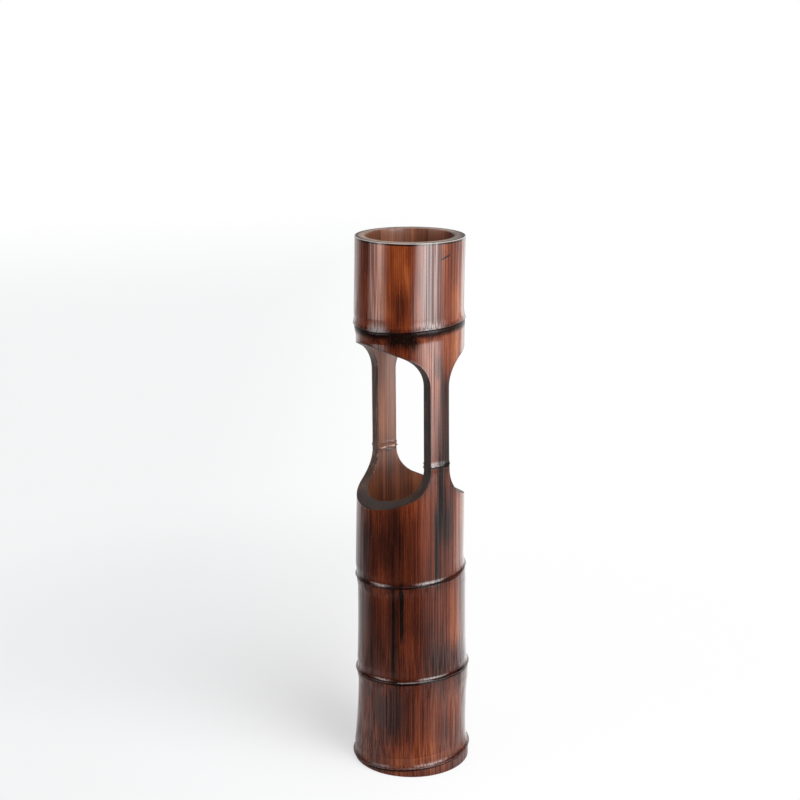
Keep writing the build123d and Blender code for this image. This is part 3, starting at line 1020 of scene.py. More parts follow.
# half the turn's sine keeps the distance whole where the angle jumps at the back of the culm
half_turn, twice_degrees = math.radians(0.5), 2 * math.degrees(1.0)
turned = bench.times(bench.minus(given["Angle"], given["Middle"]), half_turn)
away = bench.times(bench.sum("ABSOLUTE", bench.sum("SINE", turned)), twice_degrees)
away = bench.plus(away, bench.times(ragged, given["Soft"]))
side = bench.span(away, bench.minus(given["Half width"], given["Soft"]),
                  bench.plus(given["Half width"], given["Soft"]), 1.0, 0.0)
level = bench.plus(given["Height"], bench.times(ragged, given["Fade"], 1.5))
level = bench.minus(level, bench.times(turned, given["Slant"], twice_degrees))
foot_end, head_end = (bench.span(
    level, bench.minus(given[end], given["Fade"]), bench.plus(given[end], given["Fade"]), *levels)
    for end, levels in (("Low", (0.0, 1.0)), ("High", (1.0, 0.0))))
bench.feed(gives["Mask"], bench.times(side, foot_end, head_end))
mark_group = bench.tree


def mark_inputs(middle, half_width, soft, low, high, fade, slant=0.0):
    """A mark's inputs, from degrees round the culm and heights in mm."""
    return {"Middle": float(middle), "Half width": float(half_width), "Soft": float(soft),
            "Low": low * MM, "High": high * MM, "Fade": fade * MM, "Slant": slant * MM}


print("group:", mark_group.name, "with inputs", [
    item.name for item in mark_group.interface.items_tree if item.in_out == "INPUT"])

# %% Group: all the flame marks
# what it is: (middle and half width in degrees, soft edge, low and high in mm, fade in mm, amount,
# and for a slanting one how many mm it rises in a degree)
FLAME_MARKS = {
    "left side of the cup, browner": (-86, 8, 5, 505, 620, 10, -0.12),
    "golden left of the cup": (-63, 11, 6, 510, 620, 12, 0.16),
    "orange strip down the cup": (-43, 8, 4, 541, 620, 22, 0.05),
    "scorched foot of that strip": (-44, 10, 6, 512, 552, 18, -0.27),
    "browner left foot of the cup": (-64, 12, 6, 500, 520, 7, -0.14),
    "orange thread in the scorch": (-39, 2.5, 2, 508, 575, 12, 0.16),
    "tan middle of the cup": (-30, 5, 4, 515, 620, 14, 0.06),
    "grey thread beside it": (-17, 2.5, 2, 530, 620, 15, -0.12),
    "orange far side of the cup": (26, 15, 7, 512, 620, 14, 0.07),
    "scorched collar under the soot": (-41, 9, 5, 474, 492, 6, -0.14),
    "orange threads on the collar": (14, 14, 7, 468, 504, 10, 0.14),
    "tan face of the collar": (-16, 9, 5, 468, 500, 8, 0.09),
    "dark left of the collar": (-66, 14, 6, 470, 500, 8, -0.10),
    "dark edge of the collar": (-88, 12, 6, 462, 505, 8, -0.18),
    "orange middle of the near post": (-10, 4, 3, 362, 474, 14, 0.02),
    "dark side of the near post": (5, 8, 6, 356, 455, 12, -0.32),
    "scorch at the near post's head": (-6, 4, 3, 456, 479, 6, -0.26),
    "orange side of the lower cup": (-27, 14, 6, 240, 338, 14, 0.02),
    "brown side of the lower cup": (-70, 24, 9, 232, 300, 20, -0.10),
    "long dark streak, its head": (-2, 4.0, 2.5, 296, 358, 14, -0.36),
    "long dark streak": (-7, 1.8, 1.2, 226, 306, 12, -0.50),
    "wide scorch beside the streak": (4, 10, 6, 268, 310, 14, -0.22),
    "orange right of the streak": (30, 14, 7, 228, 330, 16, 0.24),
    "black streak under the node": (-44.7, 1.5, 0.8, 166, 219, 10, -1.00),
    "thin black streak beside it": (-53.4, 1.2, 0.8, 128, 211, 14, -0.60),
    "brown left of the lower culm": (-72, 22, 9, 118, 205, 20, -0.10),
    "paler side of the lower culm": (14, 22, 10, 150, 216, 18, 0.12),
    "tan edge of the lower culm": (19, 9, 6, 150, 222, 18, 0.20),
    "brown cloud on the lower culm": (-10, 17, 9, 126, 184, 16, -0.14),
    "brown foot of the lower culm": (10, 30, 12, 112, 150, 14, -0.10),
    "dried split near the base": (-85.5, 0.55, 0.35, 86, 99, 3, -0.9),
    "brown cloud on the base": (-58, 16, 8, 48, 92, 16, -0.12),
    "orange flecks on the base": (-72, 3, 2, 38, 66, 12, 0.18),
    "dark line on the base": (4, 3, 2, 30, 92, 14, -0.12),
    "paler side of the base": (10, 24, 12, 18, 96, 12, 0.12),
    "brighter foot of the base": (-30, 34, 14, 12, 40, 12, 0.06),
    "warm middle of the base": (-22, 12, 8, 20, 100, 14, 0.10),
    "scratch on the cup": (2.8, 5.2, 3.0, 582.5, 584.3, 0.7, -0.56, 0.34),
    "browner lower half of the foot stub": (0, 400, 8, -60, 6, 3, -0.04),
    "paler back of the culm": (150, 72, 22, -60, 640, 40, 0.10),
    "scorch on the back of the cup": (118, 18, 8, 512, 570, 24, -0.25),
    "orange strip on the back": (152, 9, 5, 520, 620, 20, 0.22),
    "dark streak down the back": (176, 4, 2, 236, 330, 16, -0.45),
    "orange back of the lower cup": (140, 16, 7, 240, 330, 16, 0.20),
    "black streak low on the back": (128, 1.6, 1.0, 140, 214, 14, -0.70),
    "orange back of the base": (110, 14, 8, 24, 96, 16, 0.16),
    "dark side of the far post": (184, 7, 4, 360, 470, 14, -0.25),
}
bench, given, gives = new_group("Flame marks", {"Angle": 0.0, "Height": 0.0, "Ragged": 0.5},
                               ["Tone"])
total = 0.0
for mark in FLAME_MARKS.values():
    place, amount, slant = mark[:6], mark[6], mark[7:]
    mask = bench.group(mark_group, dict(
        {label: given[label] for label in ("Angle", "Height", "Ragged")},
        **mark_inputs(*place, *slant)))["Mask"]
    total = bench.times_plus(mask, amount, total)
bench.feed(gives["Tone"], total)
marks_group = bench.tree
print("flame marks:", len(FLAME_MARKS))

# %% [markdown]
# ## Scars and soot
# The sheath left a groove under each ridge, where stain and soot collect; the groove mask also
# paints shade over the lower half of the ridge's crown above it, and the lip mask paints shade on
# the crown and lip, up to 6 mm above the scar. Below the upper node the flame also left a black
# band, with a fuzzy patch where it lingered. The distance from the nearest scar was kept on every
# point, so this group only has to turn distances into masks.

# %% Group: scar and soot
bench, given, gives = new_group("Scar and soot", {
    "Above": 0.0, "Below": 0.0, "Ragged": 0.5, "Soot depth": 0.006}, ["Groove", "Soot", "Lip shade"])
drop = bench.minus(given["Below"], bench.times(given["Ragged"], 1.6 * MM))
# Groove and shade: the dark scar line, and painted shade over the lower half of the crown above it
bench.feed(gives["Groove"], bench.times(
    bench.span(given["Below"], -0.9 * MM, -0.3 * MM),
    bench.span(given["Below"], 1.1 * MM, 2.1 * MM, 1.0, 0.0)))
bench.feed(gives["Soot"], bench.times(bench.span(drop, -0.6 * MM, 1.2 * MM), bench.span(
    drop, bench.times(given["Soot depth"], 0.35), given["Soot depth"], 1.0, 0.0)))
# Lip shade: painted shade on the ridge's crown and lip, up to 6 mm above the scar
bench.feed(gives["Lip shade"], bench.times(
    bench.span(given["Above"], -0.2 * MM, 0.6 * MM),
    bench.span(given["Above"], 1.5 * MM, 6.0 * MM, 1.0, 0.0)))
scar_group = bench.tree
print("group:", scar_group.name, "puts out", [
    item.name for item in scar_group.interface.items_tree if item.in_out == "OUTPUT"])

# %% [markdown]
# ## The lacquer's surface
# The lacquer is thin. It follows the fibres, pools a little between them, and carries fine dust.
# This group gives every finish its small relief and its change of gloss, each at its own
# strength.

# %% Group: lacquer surface
bench, given, gives = new_group("Lacquer surface", {
    "Vector": "Vector", "Fibre": 0.5, "Cloud": 0.5, "Fibre relief": 0.6, "Roughness": 0.3,
    "Spread": 0.1}, ["Height", "Roughness", "Dust"])
peel, grit = (bench.add("ShaderNodeTexNoise", {
    "Vector": given["Vector"], "Scale": scale, "Detail": detail}).outputs["Fac"]
    for scale, detail in ((160.0, 2.0), (1700.0, 0.0)))
dust = bench.span(grit, 0.66, 0.74)
bench.feed(gives["Height"], bench.plus(
    bench.times(given["Fibre"], given["Fibre relief"]),
    bench.plus(bench.times(peel, 0.5), bench.times(dust, 0.15))))
bench.feed(gives["Roughness"], bench.plus(given["Roughness"], bench.times(
    given["Spread"], bench.minus(given["Cloud"], 0.5)), clamp=True))
bench.feed(gives["Dust"], dust)
surface_group = bench.tree
print("groups:", [g.name for g in bpy.data.node_groups])


# %% [markdown]
# ## The finishes
# All the finishes are browned bamboo under lacquer. They differ in how dark the wood took the
# flame, how much lacquer lies over it and how rough it is. One helper starts each: it reads the
# place, the fibres and the surface, and hands back what a finish mixes. The Principled shader,
# with its plain numbers, is set in the material itself.

# %% Ramps of browns, from scorched to pale
SKIN_BROWNS = [(0.0, (12, 3, 2)), (0.2, (37, 11, 4)), (0.4, (67, 24, 9)), (0.6, (101, 42, 15)),
               (0.8, (138, 72, 32)), (1.0, (184, 118, 70))]
WOOD_BROWNS = [(0.0, (30, 14, 9)), (0.3, (76, 40, 25)), (0.6, (128, 73, 47)),
               (1.0, (178, 115, 76))]
CUT_BROWNS = [(0.0, (10, 6, 5)), (0.3, (32, 19, 14)), (0.6, (64, 40, 30)), (0.8, (104, 74, 58)),
              (1.0, (168, 138, 116))]
# the groove's black is the scar line and painted shade under each ridge's crown
SOOT_BLACK, SCAR_AND_SHADE_BLACK = shade(10, 4, 3), shade(9, 4, 4)
# the pale of the mouth's eased edge is partly rubbed wood and partly a painted highlight
RUBBED_AND_HIGHLIGHT_PALE, DUST_GREY = shade(206, 190, 178), shade(190, 180, 170)
SPLINTER_TAN = shade(228, 200, 184)
print("browns of the skin:", len(SKIN_BROWNS))


# %% What every finish starts from
class Finish:
    """A material on the bench, with its place on the culm, its fibres and its lacquer."""

    def __init__(self, name, relief, roughness, spread, grain="Fibre", **fibres):
        self.material = bpy.data.materials.new(name)
        self.material.use_nodes = True
        self.material.node_tree.nodes.clear()
        self.bench = Bench(self.material.node_tree)
        self.vector = self.bench.add("ShaderNodeTexCoord").outputs["Object"]
        self.place = self.bench.group(place_group, {"Vector": self.vector})
        self.fibres = self.bench.group(fibre_group, dict({"Vector": self.vector}, **fibres))
        self.surface = self.bench.group(surface_group, {
            "Vector": self.vector, "Fibre": self.fibres[grain], "Cloud": self.fibres["Cloud"],
            "Fibre relief": relief, "Roughness": roughness, "Spread": spread})

    def attribute(self, name):
        return self.bench.add("ShaderNodeAttribute", attribute_name=name,
                              attribute_type="GEOMETRY").outputs["Fac"]

    def tone(self, start, **amounts):
        """A level of brown, moved up and down by the streaks and fibres."""
        value = self.bench.minus(start, sum(amounts.values()) / 2)
        for label, amount in amounts.items():
            value = self.bench.times_plus(self.fibres[label], amount, value)
        return value

    def mark(self, *place, ragged=True):
        """The mask of one flame mark, which takes its ragged edge from the fibres."""
        takes = {"Angle": self.place["Angle"], "Height": self.place["Height"]}
        if ragged:
            takes["Ragged"] = self.fibres["Fibre"]
        return self.bench.group(mark_group, dict(takes, **mark_inputs(*place)))["Mask"]

    def brown(self, tone, stops):
        """The colour at a tone on a ramp whose stops run from 0 to 1."""
        ramp = self.bench.add("ShaderNodeValToRGB", {"Fac": tone})
        elements = ramp.color_ramp.elements
        for position, colour in stops:
            stop = (elements[0] if position == 0.0 else elements[-1] if position == 1.0
                    else elements.new(position))
            stop.color = shade(*colour)
        return ramp.outputs["Color"]

    def close(self, colour, coat, relief_height, coat_roughness, specular=0.5):
        """The Principled shader under its coat of lacquer."""
        bench = self.bench
        bump = bench.add("ShaderNodeBump", {
            "Height": self.surface["Height"], "Strength": 1.0, "Distance": relief_height})
        shader = bench.add("ShaderNodeBsdfPrincipled", {
            "Base Color": colour, "Normal": bump.outputs["Normal"],
            "Roughness": self.surface["Roughness"], "Specular IOR Level": specular,
            "Coat Weight": coat, "Coat Roughness": coat_roughness, "Coat IOR": 1.8})
        bench.add("ShaderNodeOutputMaterial", {"Surface": shader.outputs["BSDF"]})
        return self.material


print("a finish's calls:", [name for name in vars(Finish) if not name.startswith("_")])

# %% [markdown]
# ## The lacquered skin
# The skin's tone is put together from fibres, streaks and clouds, moved by the flame marks, and
# looked up on a ramp of browns. Painted shade then darkens each ridge's crown and lip. Soot, the
# scar's groove with painted shade over the crown, and the mouth's eased edge, pale partly from
# rubbing and partly as a painted highlight, are laid over that colour as masks, and where there is
# soot the lacquer on top gets thinner too.

# %% Soot under the scars
def soot_share(finish, scar):
    """The upper node has the flame's black band and patch; the others only a thin dark line."""
    bench, height = finish.bench, finish.place["Height"]
    upper_only = bench.span(height, 470 * MM, 490 * MM)
    # the patch stays under the scar, off the foot of the cup's wall
    patch = bench.times(
        finish.mark(-44, 17, 6, 488, 520, 6), upper_only,
        bench.span(finish.attribute("below_scar"), 0.0, 2 * MM),
        bench.span(height, 512 * MM, 516 * MM, 1.0, 0.0))
    band = bench.times(scar["Soot"], bench.span(upper_only, 0.0, 1.0, 0.10, 0.96))
    return bench.larger(bench.times(patch, 0.98), band)


print("the sooty node is %.1f mm up" % (upper_node_height / MM))


# %% The lacquered skin, on walls, nodes and foot
def skin_finish(name, start, soot_depth, coat_roughness, coat=1.0):
    finish = Finish(name, 0.6, 0.22, 0.08, "Line",
                    **{"Fibre width": 0.0009, "Fibre stretch": 0.006})
    bench, height = finish.bench, finish.place["Height"]
    marks = bench.group(marks_group, {
        "Angle": finish.place["Angle"], "Height": height, "Ragged": finish.fibres["Fibre"]})
    scar = bench.group(scar_group, {
        "Above": finish.attribute("above_scar"), "Below": finish.attribute("below_scar"),
        "Ragged": finish.fibres["Fibre"], "Soot depth": soot_depth})
    # the skin's tone starts darker towards the bottom, below 500 mm
    start = bench.span(height, 300 * MM, 500 * MM, start - 0.15, start, smoothly=False)
    tone = finish.tone(start, Streak=0.11, Fibre=0.17, Line=0.23, Cloud=0.25, Pore=0.06)
    tone = bench.plus(tone, marks["Tone"])
    # the skin is darker in a thin band just under the mouth's eased edge
    tone = bench.minus(tone, bench.span(
        height, mouth_height - 3.4 * MM, mouth_height - 2.0 * MM, 0.0, 0.5))
    # painted shade: each ridge's crown and lip are darkened
    tone = bench.times_plus(scar["Lip shade"], -0.16, tone, clamp=True)
    # the eased edge itself is pale: partly rubbed wear, partly a painted highlight
    rubbed_and_highlight = bench.span(height, mouth_height - 1.1 * MM, mouth_height - 0.7 * MM, 0.0, 0.6)
    soot = soot_share(finish, scar)
    dust = bench.times(finish.surface["Dust"], 0.03)
    colour = finish.brown(tone, SKIN_BROWNS)
    for share, layer in ((rubbed_and_highlight, RUBBED_AND_HIGHLIGHT_PALE), (soot, SOOT_BLACK),
                         # the groove's black: the scar line, and painted shade over the lower
                         # crown
                         (scar["Groove"], SCAR_AND_SHADE_BLACK), (dust, DUST_GREY)):
        colour = bench.blend(share, colour, layer)
    # soot is dull: the lacquer sinks into it
    dull = bench.larger(scar["Groove"], soot)
    cover = bench.minus(coat, bench.times(dull, 0.90 * coat))
    # and it lies thinner along the hollow lines between the fibres
    thin = bench.span(finish.fibres["Line"], 0.25, 0.60, 0.36, 1.0)
    return finish.close(colour, bench.times(cover, thin), 0.06 * MM, coat_roughness,
                        specular=0.06)


lacquered_skin = skin_finish("Lacquered skin", 0.56, 9.5 * MM, 0.12)
node_skin = skin_finish("Lacquered node", 0.56, 9.5 * MM, 0.12)
foot_skin = skin_finish("Handled foot", 0.63, 3.0 * MM, 0.32, coat=0.9)
print("skin finishes:", lacquered_skin.name, node_skin.name, foot_skin.name)


# %% [markdown]
# ## Sawn faces
# Stain soaks deep into the open ends of the fibres, so the sawn faces are the darkest wood.
# Fibres stand closest together just under the skin, which the radius shows.

# %% Sawn wood
def sanded_rim(finish):
    """The rim was sanded, which took most of the stain off, least where fibres are dense; the ring
    next to the bore is painted shade.
    """
    bench = finish.bench
    centred = bench.add("ShaderNodeVectorMath", {
        0: finish.vector, 1: tuple(float(v) for v in -mouth.centre * (1, 1, 0))}, operation="ADD")
    across = bench.group(place_group, {"Vector": centred.outputs[0]})["Radius"]
    outer_band = bench.times(bench.span(across, 54.5 * MM, 56.2 * MM),
                             bench.span(across, 57.8 * MM, 58.6 * MM, 1.0, 0.0))
    # painted shade: the rim is darker in a ring along the bore's edge
    bore_edge_shade = bench.span(across, 48.3 * MM, 49.6 * MM, 1.0, 0.0)
    paler = bench.minus(0.54, bench.times(0.62, bench.larger(outer_band, bore_edge_shade)))
    # one side of the rim is darker
    darker_side_of_rim = finish.mark(52, 34, 26, 580, 620, 10, ragged=False)
    return bench.times_plus(darker_side_of_rim, -0.26, paler)


def sawn_finish(name):
    finish = Finish(name, 1.1, 0.46, 0.2, **{"Fibre width": 0.0009, "Fibre stretch": 0.03})
    bench = finish.bench
    dense = bench.span(finish.place["Radius"], 46 * MM, 60 * MM)
    tone = finish.tone(0.41, Streak=0.16, Fibre=0.66, Cloud=0.20, Pore=0.12)
    tone = bench.minus(tone, bench.times(dense, 0.10))
    far_post = finish.mark(180, 60, 20, 300, 500, 30, ragged=False)
    tone = bench.times_plus(far_post, 0.24, tone)
    rim = bench.span(
        finish.place["Height"], mouth_height - 10 * MM, mouth_height - 0.5 * MM)
    tone = bench.times_plus(rim, sanded_rim(finish), tone, clamp=True)
    return finish.close(finish.brown(tone, CUT_BROWNS), 0.25, 0.12 * MM, 0.30, specular=0.3)


sawn_wood = sawn_finish("Stained saw cut")
print("the rim is sanded round", [round(float(v) / MM, 2) for v in mouth.centre[:2]], "mm")

# %% [markdown]
# ## The bores
# Inside, the wood has no skin: its fibres lie open and took the stain unevenly. The bore is darker
# near the floors and on two sides of the mouth, and painted shade darkens the pocket under the
# stump's lower rib. On the far post the knocked-out diaphragm left pale, torn fibres.

# %% Stained bore and diaphragm wood
# darker on two sides inside the mouth, painted shade in the pocket under the stump's lower rib,
# and a darker patch under the stump on the far side: middle, half width and soft edge in degrees,
# low, high and fade in mm, and the change of tone
BORE_MARKS = [(62, 24, 12, 545, 640, 18, -0.34), (-124, 16, 10, 545, 640, 18, -0.16),
              (181, 3.0, 2.5, 349, 352.2, 1.2, -0.26), (180, 40, 20, 320, 352, 8, -0.12)]


def torn_stump(finish):
    """Torn wood on the two ribs of the stump at the window node."""
    bench = finish.bench
    wander = bench.times_plus(finish.fibres["Cloud"], -2.0 * MM, 3.6 * MM)
    edge = bench.sum("ABSOLUTE", bench.plus(finish.attribute("above_scar"), wander))
    return bench.times(
        bench.span(edge, 0.2 * MM, 1.2 * MM, 1.0, 0.0),
        finish.mark(0, 400, 2, 349, 366, 2, ragged=False),
        bench.span(finish.fibres["Fibre"], 0.25, 0.55, 0.15, 1.0))


def bore_finish(name, start, coat):
    finish = Finish(name, 0.9, 0.50, 0.15, **{"Fibre width": 0.0021, "Streak width": 0.0075})
    bench = finish.bench
    tone = finish.tone(start, Streak=0.15, Fibre=0.30, Line=0.20, Cloud=0.26, Pore=0.05)
    # the bore is darker near each node, fading out 30 mm above it
    tone = bench.minus(tone, bench.span(
        finish.attribute("above_scar"), -4 * MM, 30 * MM, 0.13, 0.0))
    for *place, amount in BORE_MARKS:
        tone = bench.times_plus(finish.mark(*place), amount, tone)
    torn = torn_stump(finish)
    tone = bench.times_plus(torn, 0.34, tone, clamp=True)
    splinters = bench.times(torn, 0.8)
    colour = bench.blend(splinters, finish.brown(tone, WOOD_BROWNS), SPLINTER_TAN)
    return finish.close(colour, coat, 0.11 * MM, 0.28)


bore_wood = bore_finish("Stained bore", 0.56, 0.5)
floor_wood = bore_finish("Diaphragm wood", 0.42, 0.3)
print("wood finishes:", sawn_wood.name, bore_wood.name, floor_wood.name)

# %% [markdown]
# ## Grown unevenness
# A culm is never turned true. Its skin has slow hollows along the fibres, a fraction of a
# millimetre deep, which bend the window light on it. One Geometry Nodes tree presses them into
# every piece: the position gives the noise, so neighbours match along their seams, and the stored
# share of skin keeps bores and sawn faces where they are. It only presses inwards, so no size
# grows.

# %% Geometry Nodes: culm relief
FINISHES = {"Skin": SKIN, "Sawn": SAWN, "Bore": BORE, "Floor": FLOOR, "Joint": JOINT}


def faces_of(bench, number):
    """Which faces carry the finish of this number."""
    finish = bench.add("GeometryNodeInputNamedAttribute", {"Name": "finish"}, data_type="INT")
    return bench.add("FunctionNodeCompare", {2: finish.outputs["Attribute"], 3: number},
                     data_type="INT", operation="EQUAL").outputs[0]


bench, given, gives = new_group("Culm relief", dict(
    {"Geometry": "Geometry", "Depth": 0.0002, "Hollow width": 0.019, "Stretch": 0.09},
    **{label: "Material" for label in FINISHES}), ["Geometry"], "GeometryNodeTree")
position = bench.add("GeometryNodeInputPosition").outputs[0]
hollow = squeezed_noise(bench, position, given["Hollow width"], given["Stretch"], 2.0, 0.5, 7.0)
skin_share = bench.add("GeometryNodeInputNamedAttribute", {"Name": "skin"},
                       data_type="FLOAT").outputs["Attribute"]
press = bench.times(bench.span(hollow, 0.3, 0.7, smoothly=False), skin_share,
                    bench.times(given["Depth"], -1.0))
parts = bench.add("ShaderNodeSeparateXYZ", {"Vector": position}).outputs
outward = bench.add("ShaderNodeCombineXYZ", {"X": parts["X"], "Y": parts["Y"]}).outputs[0]
outward = bench.add("ShaderNodeVectorMath", {0: outward}, operation="NORMALIZE").outputs[0]
move = bench.add("ShaderNodeVectorMath", {0: outward, "Scale": press}, operation="SCALE")
shape = bench.add("GeometryNodeSetPosition", {
    "Geometry": given["Geometry"], "Offset": move.outputs[0]}).outputs[0]
shape = bench.add("GeometryNodeRealizeInstances", {"Geometry": shape}).outputs[0]
for label, number in FINISHES.items():
    shape = bench.add("GeometryNodeSetMaterial", {
        "Geometry": shape, "Selection": faces_of(bench, number),
        "Material": given[label]}).outputs[0]
bench.feed(gives["Geometry"], shape)
relief_tree = bench.tree
print("tree:", relief_tree.name, "with", len(relief_tree.nodes), "nodes")


# %% Press the relief into every piece
def apply_tree(piece, tree, values):
    """Give a piece a Geometry Nodes tree with its inputs set, and keep only the finished mesh."""
    modifier = piece.modifiers.new(tree.name, "NODES")
    modifier.node_group = tree
    for item in tree.interface.items_tree:
        if item.in_out == "INPUT" and item.name in values:
            modifier[item.identifier] = values[item.name]
    piece.update_tag()
    graph = bpy.context.evaluated_depsgraph_get()
    made = bpy.data.meshes.new_from_object(piece.evaluated_get(graph))
    piece.modifiers.clear()
    for number in reversed(range(len(made.materials))):
        if made.materials[number] is None:
            made.materials.pop(index=number)
    raw, piece.data = piece.data, made
    bpy.data.meshes.remove(raw)
    made.name = piece.name


relief_depth = 0.22 * MM
SLOT_SKINS = {"lacquered_bamboo": lacquered_skin, "node_ridge": node_skin,
              "inner_bamboo": lacquered_skin, "foot_stub": foot_skin}
slots = {part["node"]: part["material_slot"] for part in frame["record"]["subparts"]}
rim_source = upper_cup_wall.data.copy()
for node, slot_name in slots.items():
    piece = bpy.data.objects[node + "_finished"]
    skin_here = foot_skin if node == "base_node_ring" else SLOT_SKINS[slot_name]
    apply_tree(piece, relief_tree, {
        "Depth": relief_depth, "Skin": skin_here, "Sawn": sawn_wood, "Bore": bore_wood,
        "Floor": floor_wood, "Joint": sawn_wood})
    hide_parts(node)
    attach(piece, "root")
print("finished pieces:", len(slots), "materials on the cup:",
      [m.name for m in upper_cup_wall.data.materials])

# %% [markdown]
# ## Fibre ends on the rim
# Sanding wears the soft wood a little faster than the hard fibres, so their ends stand proud of
# the sawn rim by a hair. They repeat by the hundred and follow a rule, closest together under the
# skin, which is work for Geometry Nodes: points are scattered on the rim, thinned out towards the
# bore, and a low button is placed on each.

# %% Geometry Nodes: fibre ends
button_sides, button_height = 7, 0.22 * MM
bench, given, gives = new_group("Fibre ends", {
    "Geometry": "Geometry", "Spacing": 0.0011, "Radius": 0.00032, "Bore radius": 0.0474,
    "Skin radius": 0.0593, "Seed": 4, "Material": "Material"}, ["Geometry"], "GeometryNodeTree")
parts = bench.add("ShaderNodeSeparateXYZ", {
    "Vector": bench.add("GeometryNodeInputPosition").outputs[0]}).outputs
thick = bench.span(bench.far_from_axis(parts), given["Bore radius"], given["Skin radius"],
                   0.18, 1.0)
upward = bench.add("ShaderNodeSeparateXYZ", {
    "Vector": bench.add("GeometryNodeInputNormal").outputs[0]}).outputs["Z"]
flat = bench.add("FunctionNodeCompare", {0: upward, 1: 0.98}, data_type="FLOAT",
                 operation="GREATER_THAN")
both = bench.add("FunctionNodeBooleanMath", {0: faces_of(bench, SAWN), 1: flat.outputs[0]},
                 operation="AND")
spots = bench.add("GeometryNodeDistributePointsOnFaces", {
    "Mesh": given["Geometry"], "Selection": both.outputs[0], "Distance Min": given["Spacing"],
    "Density Max": 900000.0, "Density Factor": thick, "Seed": given["Seed"]},
    distribute_method="POISSON")
button = bench.add("GeometryNodeMeshCylinder", {
    "Vertices": button_sides, "Radius": given["Radius"], "Depth": button_height},
    fill_type="NGON")
size = bench.add("FunctionNodeRandomValue", {2: 0.55, 3: 1.15, "Seed": given["Seed"]},
                 data_type="FLOAT")
placed = bench.add("GeometryNodeInstanceOnPoints", {
    "Points": spots.outputs["Points"], "Instance": button.outputs["Mesh"],
    "Rotation": spots.outputs["Rotation"], "Scale": size.outputs[1]})
whole = bench.add("GeometryNodeRealizeInstances", {"Geometry": placed.outputs[0]}).outputs[0]
whole = bench.add("GeometryNodeSetMaterial", {
    "Geometry": whole, "Material": given["Material"]}).outputs[0]
bench.feed(gives["Geometry"], whole)
ends_tree = bench.tree
print("tree:", ends_tree.name, "with", len(ends_tree.nodes), "nodes")

# %% The fibre ends
fibre_end_wood = sawn_finish("Fibre end")
fibre_ends = bpy.data.objects.new("rim_fibre_ends", rim_source)
bpy.context.scene.collection.objects.link(fibre_ends)
apply_tree(fibre_ends, ends_tree, {"Spacing": 0.0011, "Radius": 0.00030,
                                   "Material": fibre_end_wood})
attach(fibre_ends, "root")
print("fibre ends:", len(fibre_ends.data.polygons) // (button_sides + 2))

# %% [markdown]
# ## The studio
# A pale floor and two large soft boxes, one each side of the camera, light the vase as in the
# photograph: each shows on the glossy skin as one long upright highlight. A weaker box overhead
# lights the rim and the floor, and a narrow strip behind gives the far side an edge. Lamp
# strength is set from the brightness that its face should have, so a lamp can change size without
# changing how bright its reflection is.

# %% Camera
azimuth, pitch = math.radians(56.2), math.radians(14.686)
forward = np.array([-math.sin(azimuth) * math.cos(pitch), math.cos(azimuth) * math.cos(pitch),
                    -math.sin(pitch)])
right = np.array([math.cos(azimuth), math.sin(azimuth), 0.0])
camera_place = np.array([1.40539, -0.95659, 0.86411])


def turn_to(obj, forward, right):
    up = np.cross(right, forward)
    obj.rotation_mode = "QUATERNION"
    obj.rotation_quaternion = Matrix([list(row) for row in np.array(
        [right, up, -forward]).T]).to_quaternion()


camera = bpy.data.objects.new("camera", bpy.data.cameras.new("camera"))
camera.location = camera_place
turn_to(camera, forward, right)
camera.data.sensor_width, camera.data.lens = 36.0, 72.56
camera.data.clip_end = 100.0
bpy.context.scene.collection.objects.link(camera)
bpy.context.scene.camera = camera
print("camera %.2f m away, %.2f m up" % (np.hypot(*camera_place[:2]), camera_place[2]))


# %% Soft boxes
def soft_box(name, heading, distance, height, wide, tall, brightness, aim=0.0, soft=False):
    """A rectangular lamp that faces the vase; a soft one fades out to its sides and foot."""
    turn, tilt = math.radians(heading), math.radians(aim)
    away = np.array([math.cos(turn), math.sin(turn), 0.0])
    facing = -away * math.cos(tilt) - np.array([0, 0, math.sin(tilt)])
    lamp = bpy.data.objects.new(name, bpy.data.lights.new(name, "AREA"))
    lamp.data.shape, lamp.data.size, lamp.data.size_y = "RECTANGLE", wide, tall
    lamp.data.energy = brightness * math.pi * wide * tall
    lamp.location = away * distance + np.array([0, 0, height])
    turn_to(lamp, facing, np.array([-facing[1], facing[0], 0.0]) / -np.hypot(*facing[:2]))
    lamp.visible_camera = False
    bpy.context.scene.collection.objects.link(lamp)
    if soft:
        lamp.data.use_nodes = True
        lamp.data.node_tree.nodes.clear()
        bench = Bench(lamp.data.node_tree)
        face = bench.add("ShaderNodeSeparateXYZ", {"Vector": bench.add(
            "ShaderNodeNewGeometry").outputs["Parametric"]}).outputs
        aside = bench.sum("ABSOLUTE", bench.minus(face["X"], 0.5))
        glow = bench.add("ShaderNodeEmission", {"Strength": bench.times(
            bench.span(face["Y"], -0.13, 0.32), bench.span(aside, 0.05, 0.5, 1.0, 0.0))})
        bench.add("ShaderNodeOutputLight", {"Surface": glow.outputs[0]})
    print("%s gives %.0f W" % (name, lamp.data.energy))


soft_box("soft_box_right", 6.5, 1.3, 0.80, 2.2, 1.6, 5.8, soft=True)
soft_box("soft_box_left", -102.5, 1.5, 0.80, 1.6, 1.6, 2.6, soft=True)
soft_box("strip_box_behind", 112.0, 1.5, 0.80, 0.45, 1.6, 0.5)
soft_box("soft_box_above", -33.8, 0.25, 2.1, 1.4, 1.4, 2.2, aim=84.0)

# %% [markdown]
# ## What the lacquer mirrors
# The skin is so glossy that most of its look is what it mirrors. The floor and the world look
# white or pale to the camera, but in the lacquer the floor is dim in front, where the studio was
# dark, and pale to the right and behind. Both read that level from one helper. It depends on the
# direction from the vase, not on the camera, so the bands of light stay put in every view.

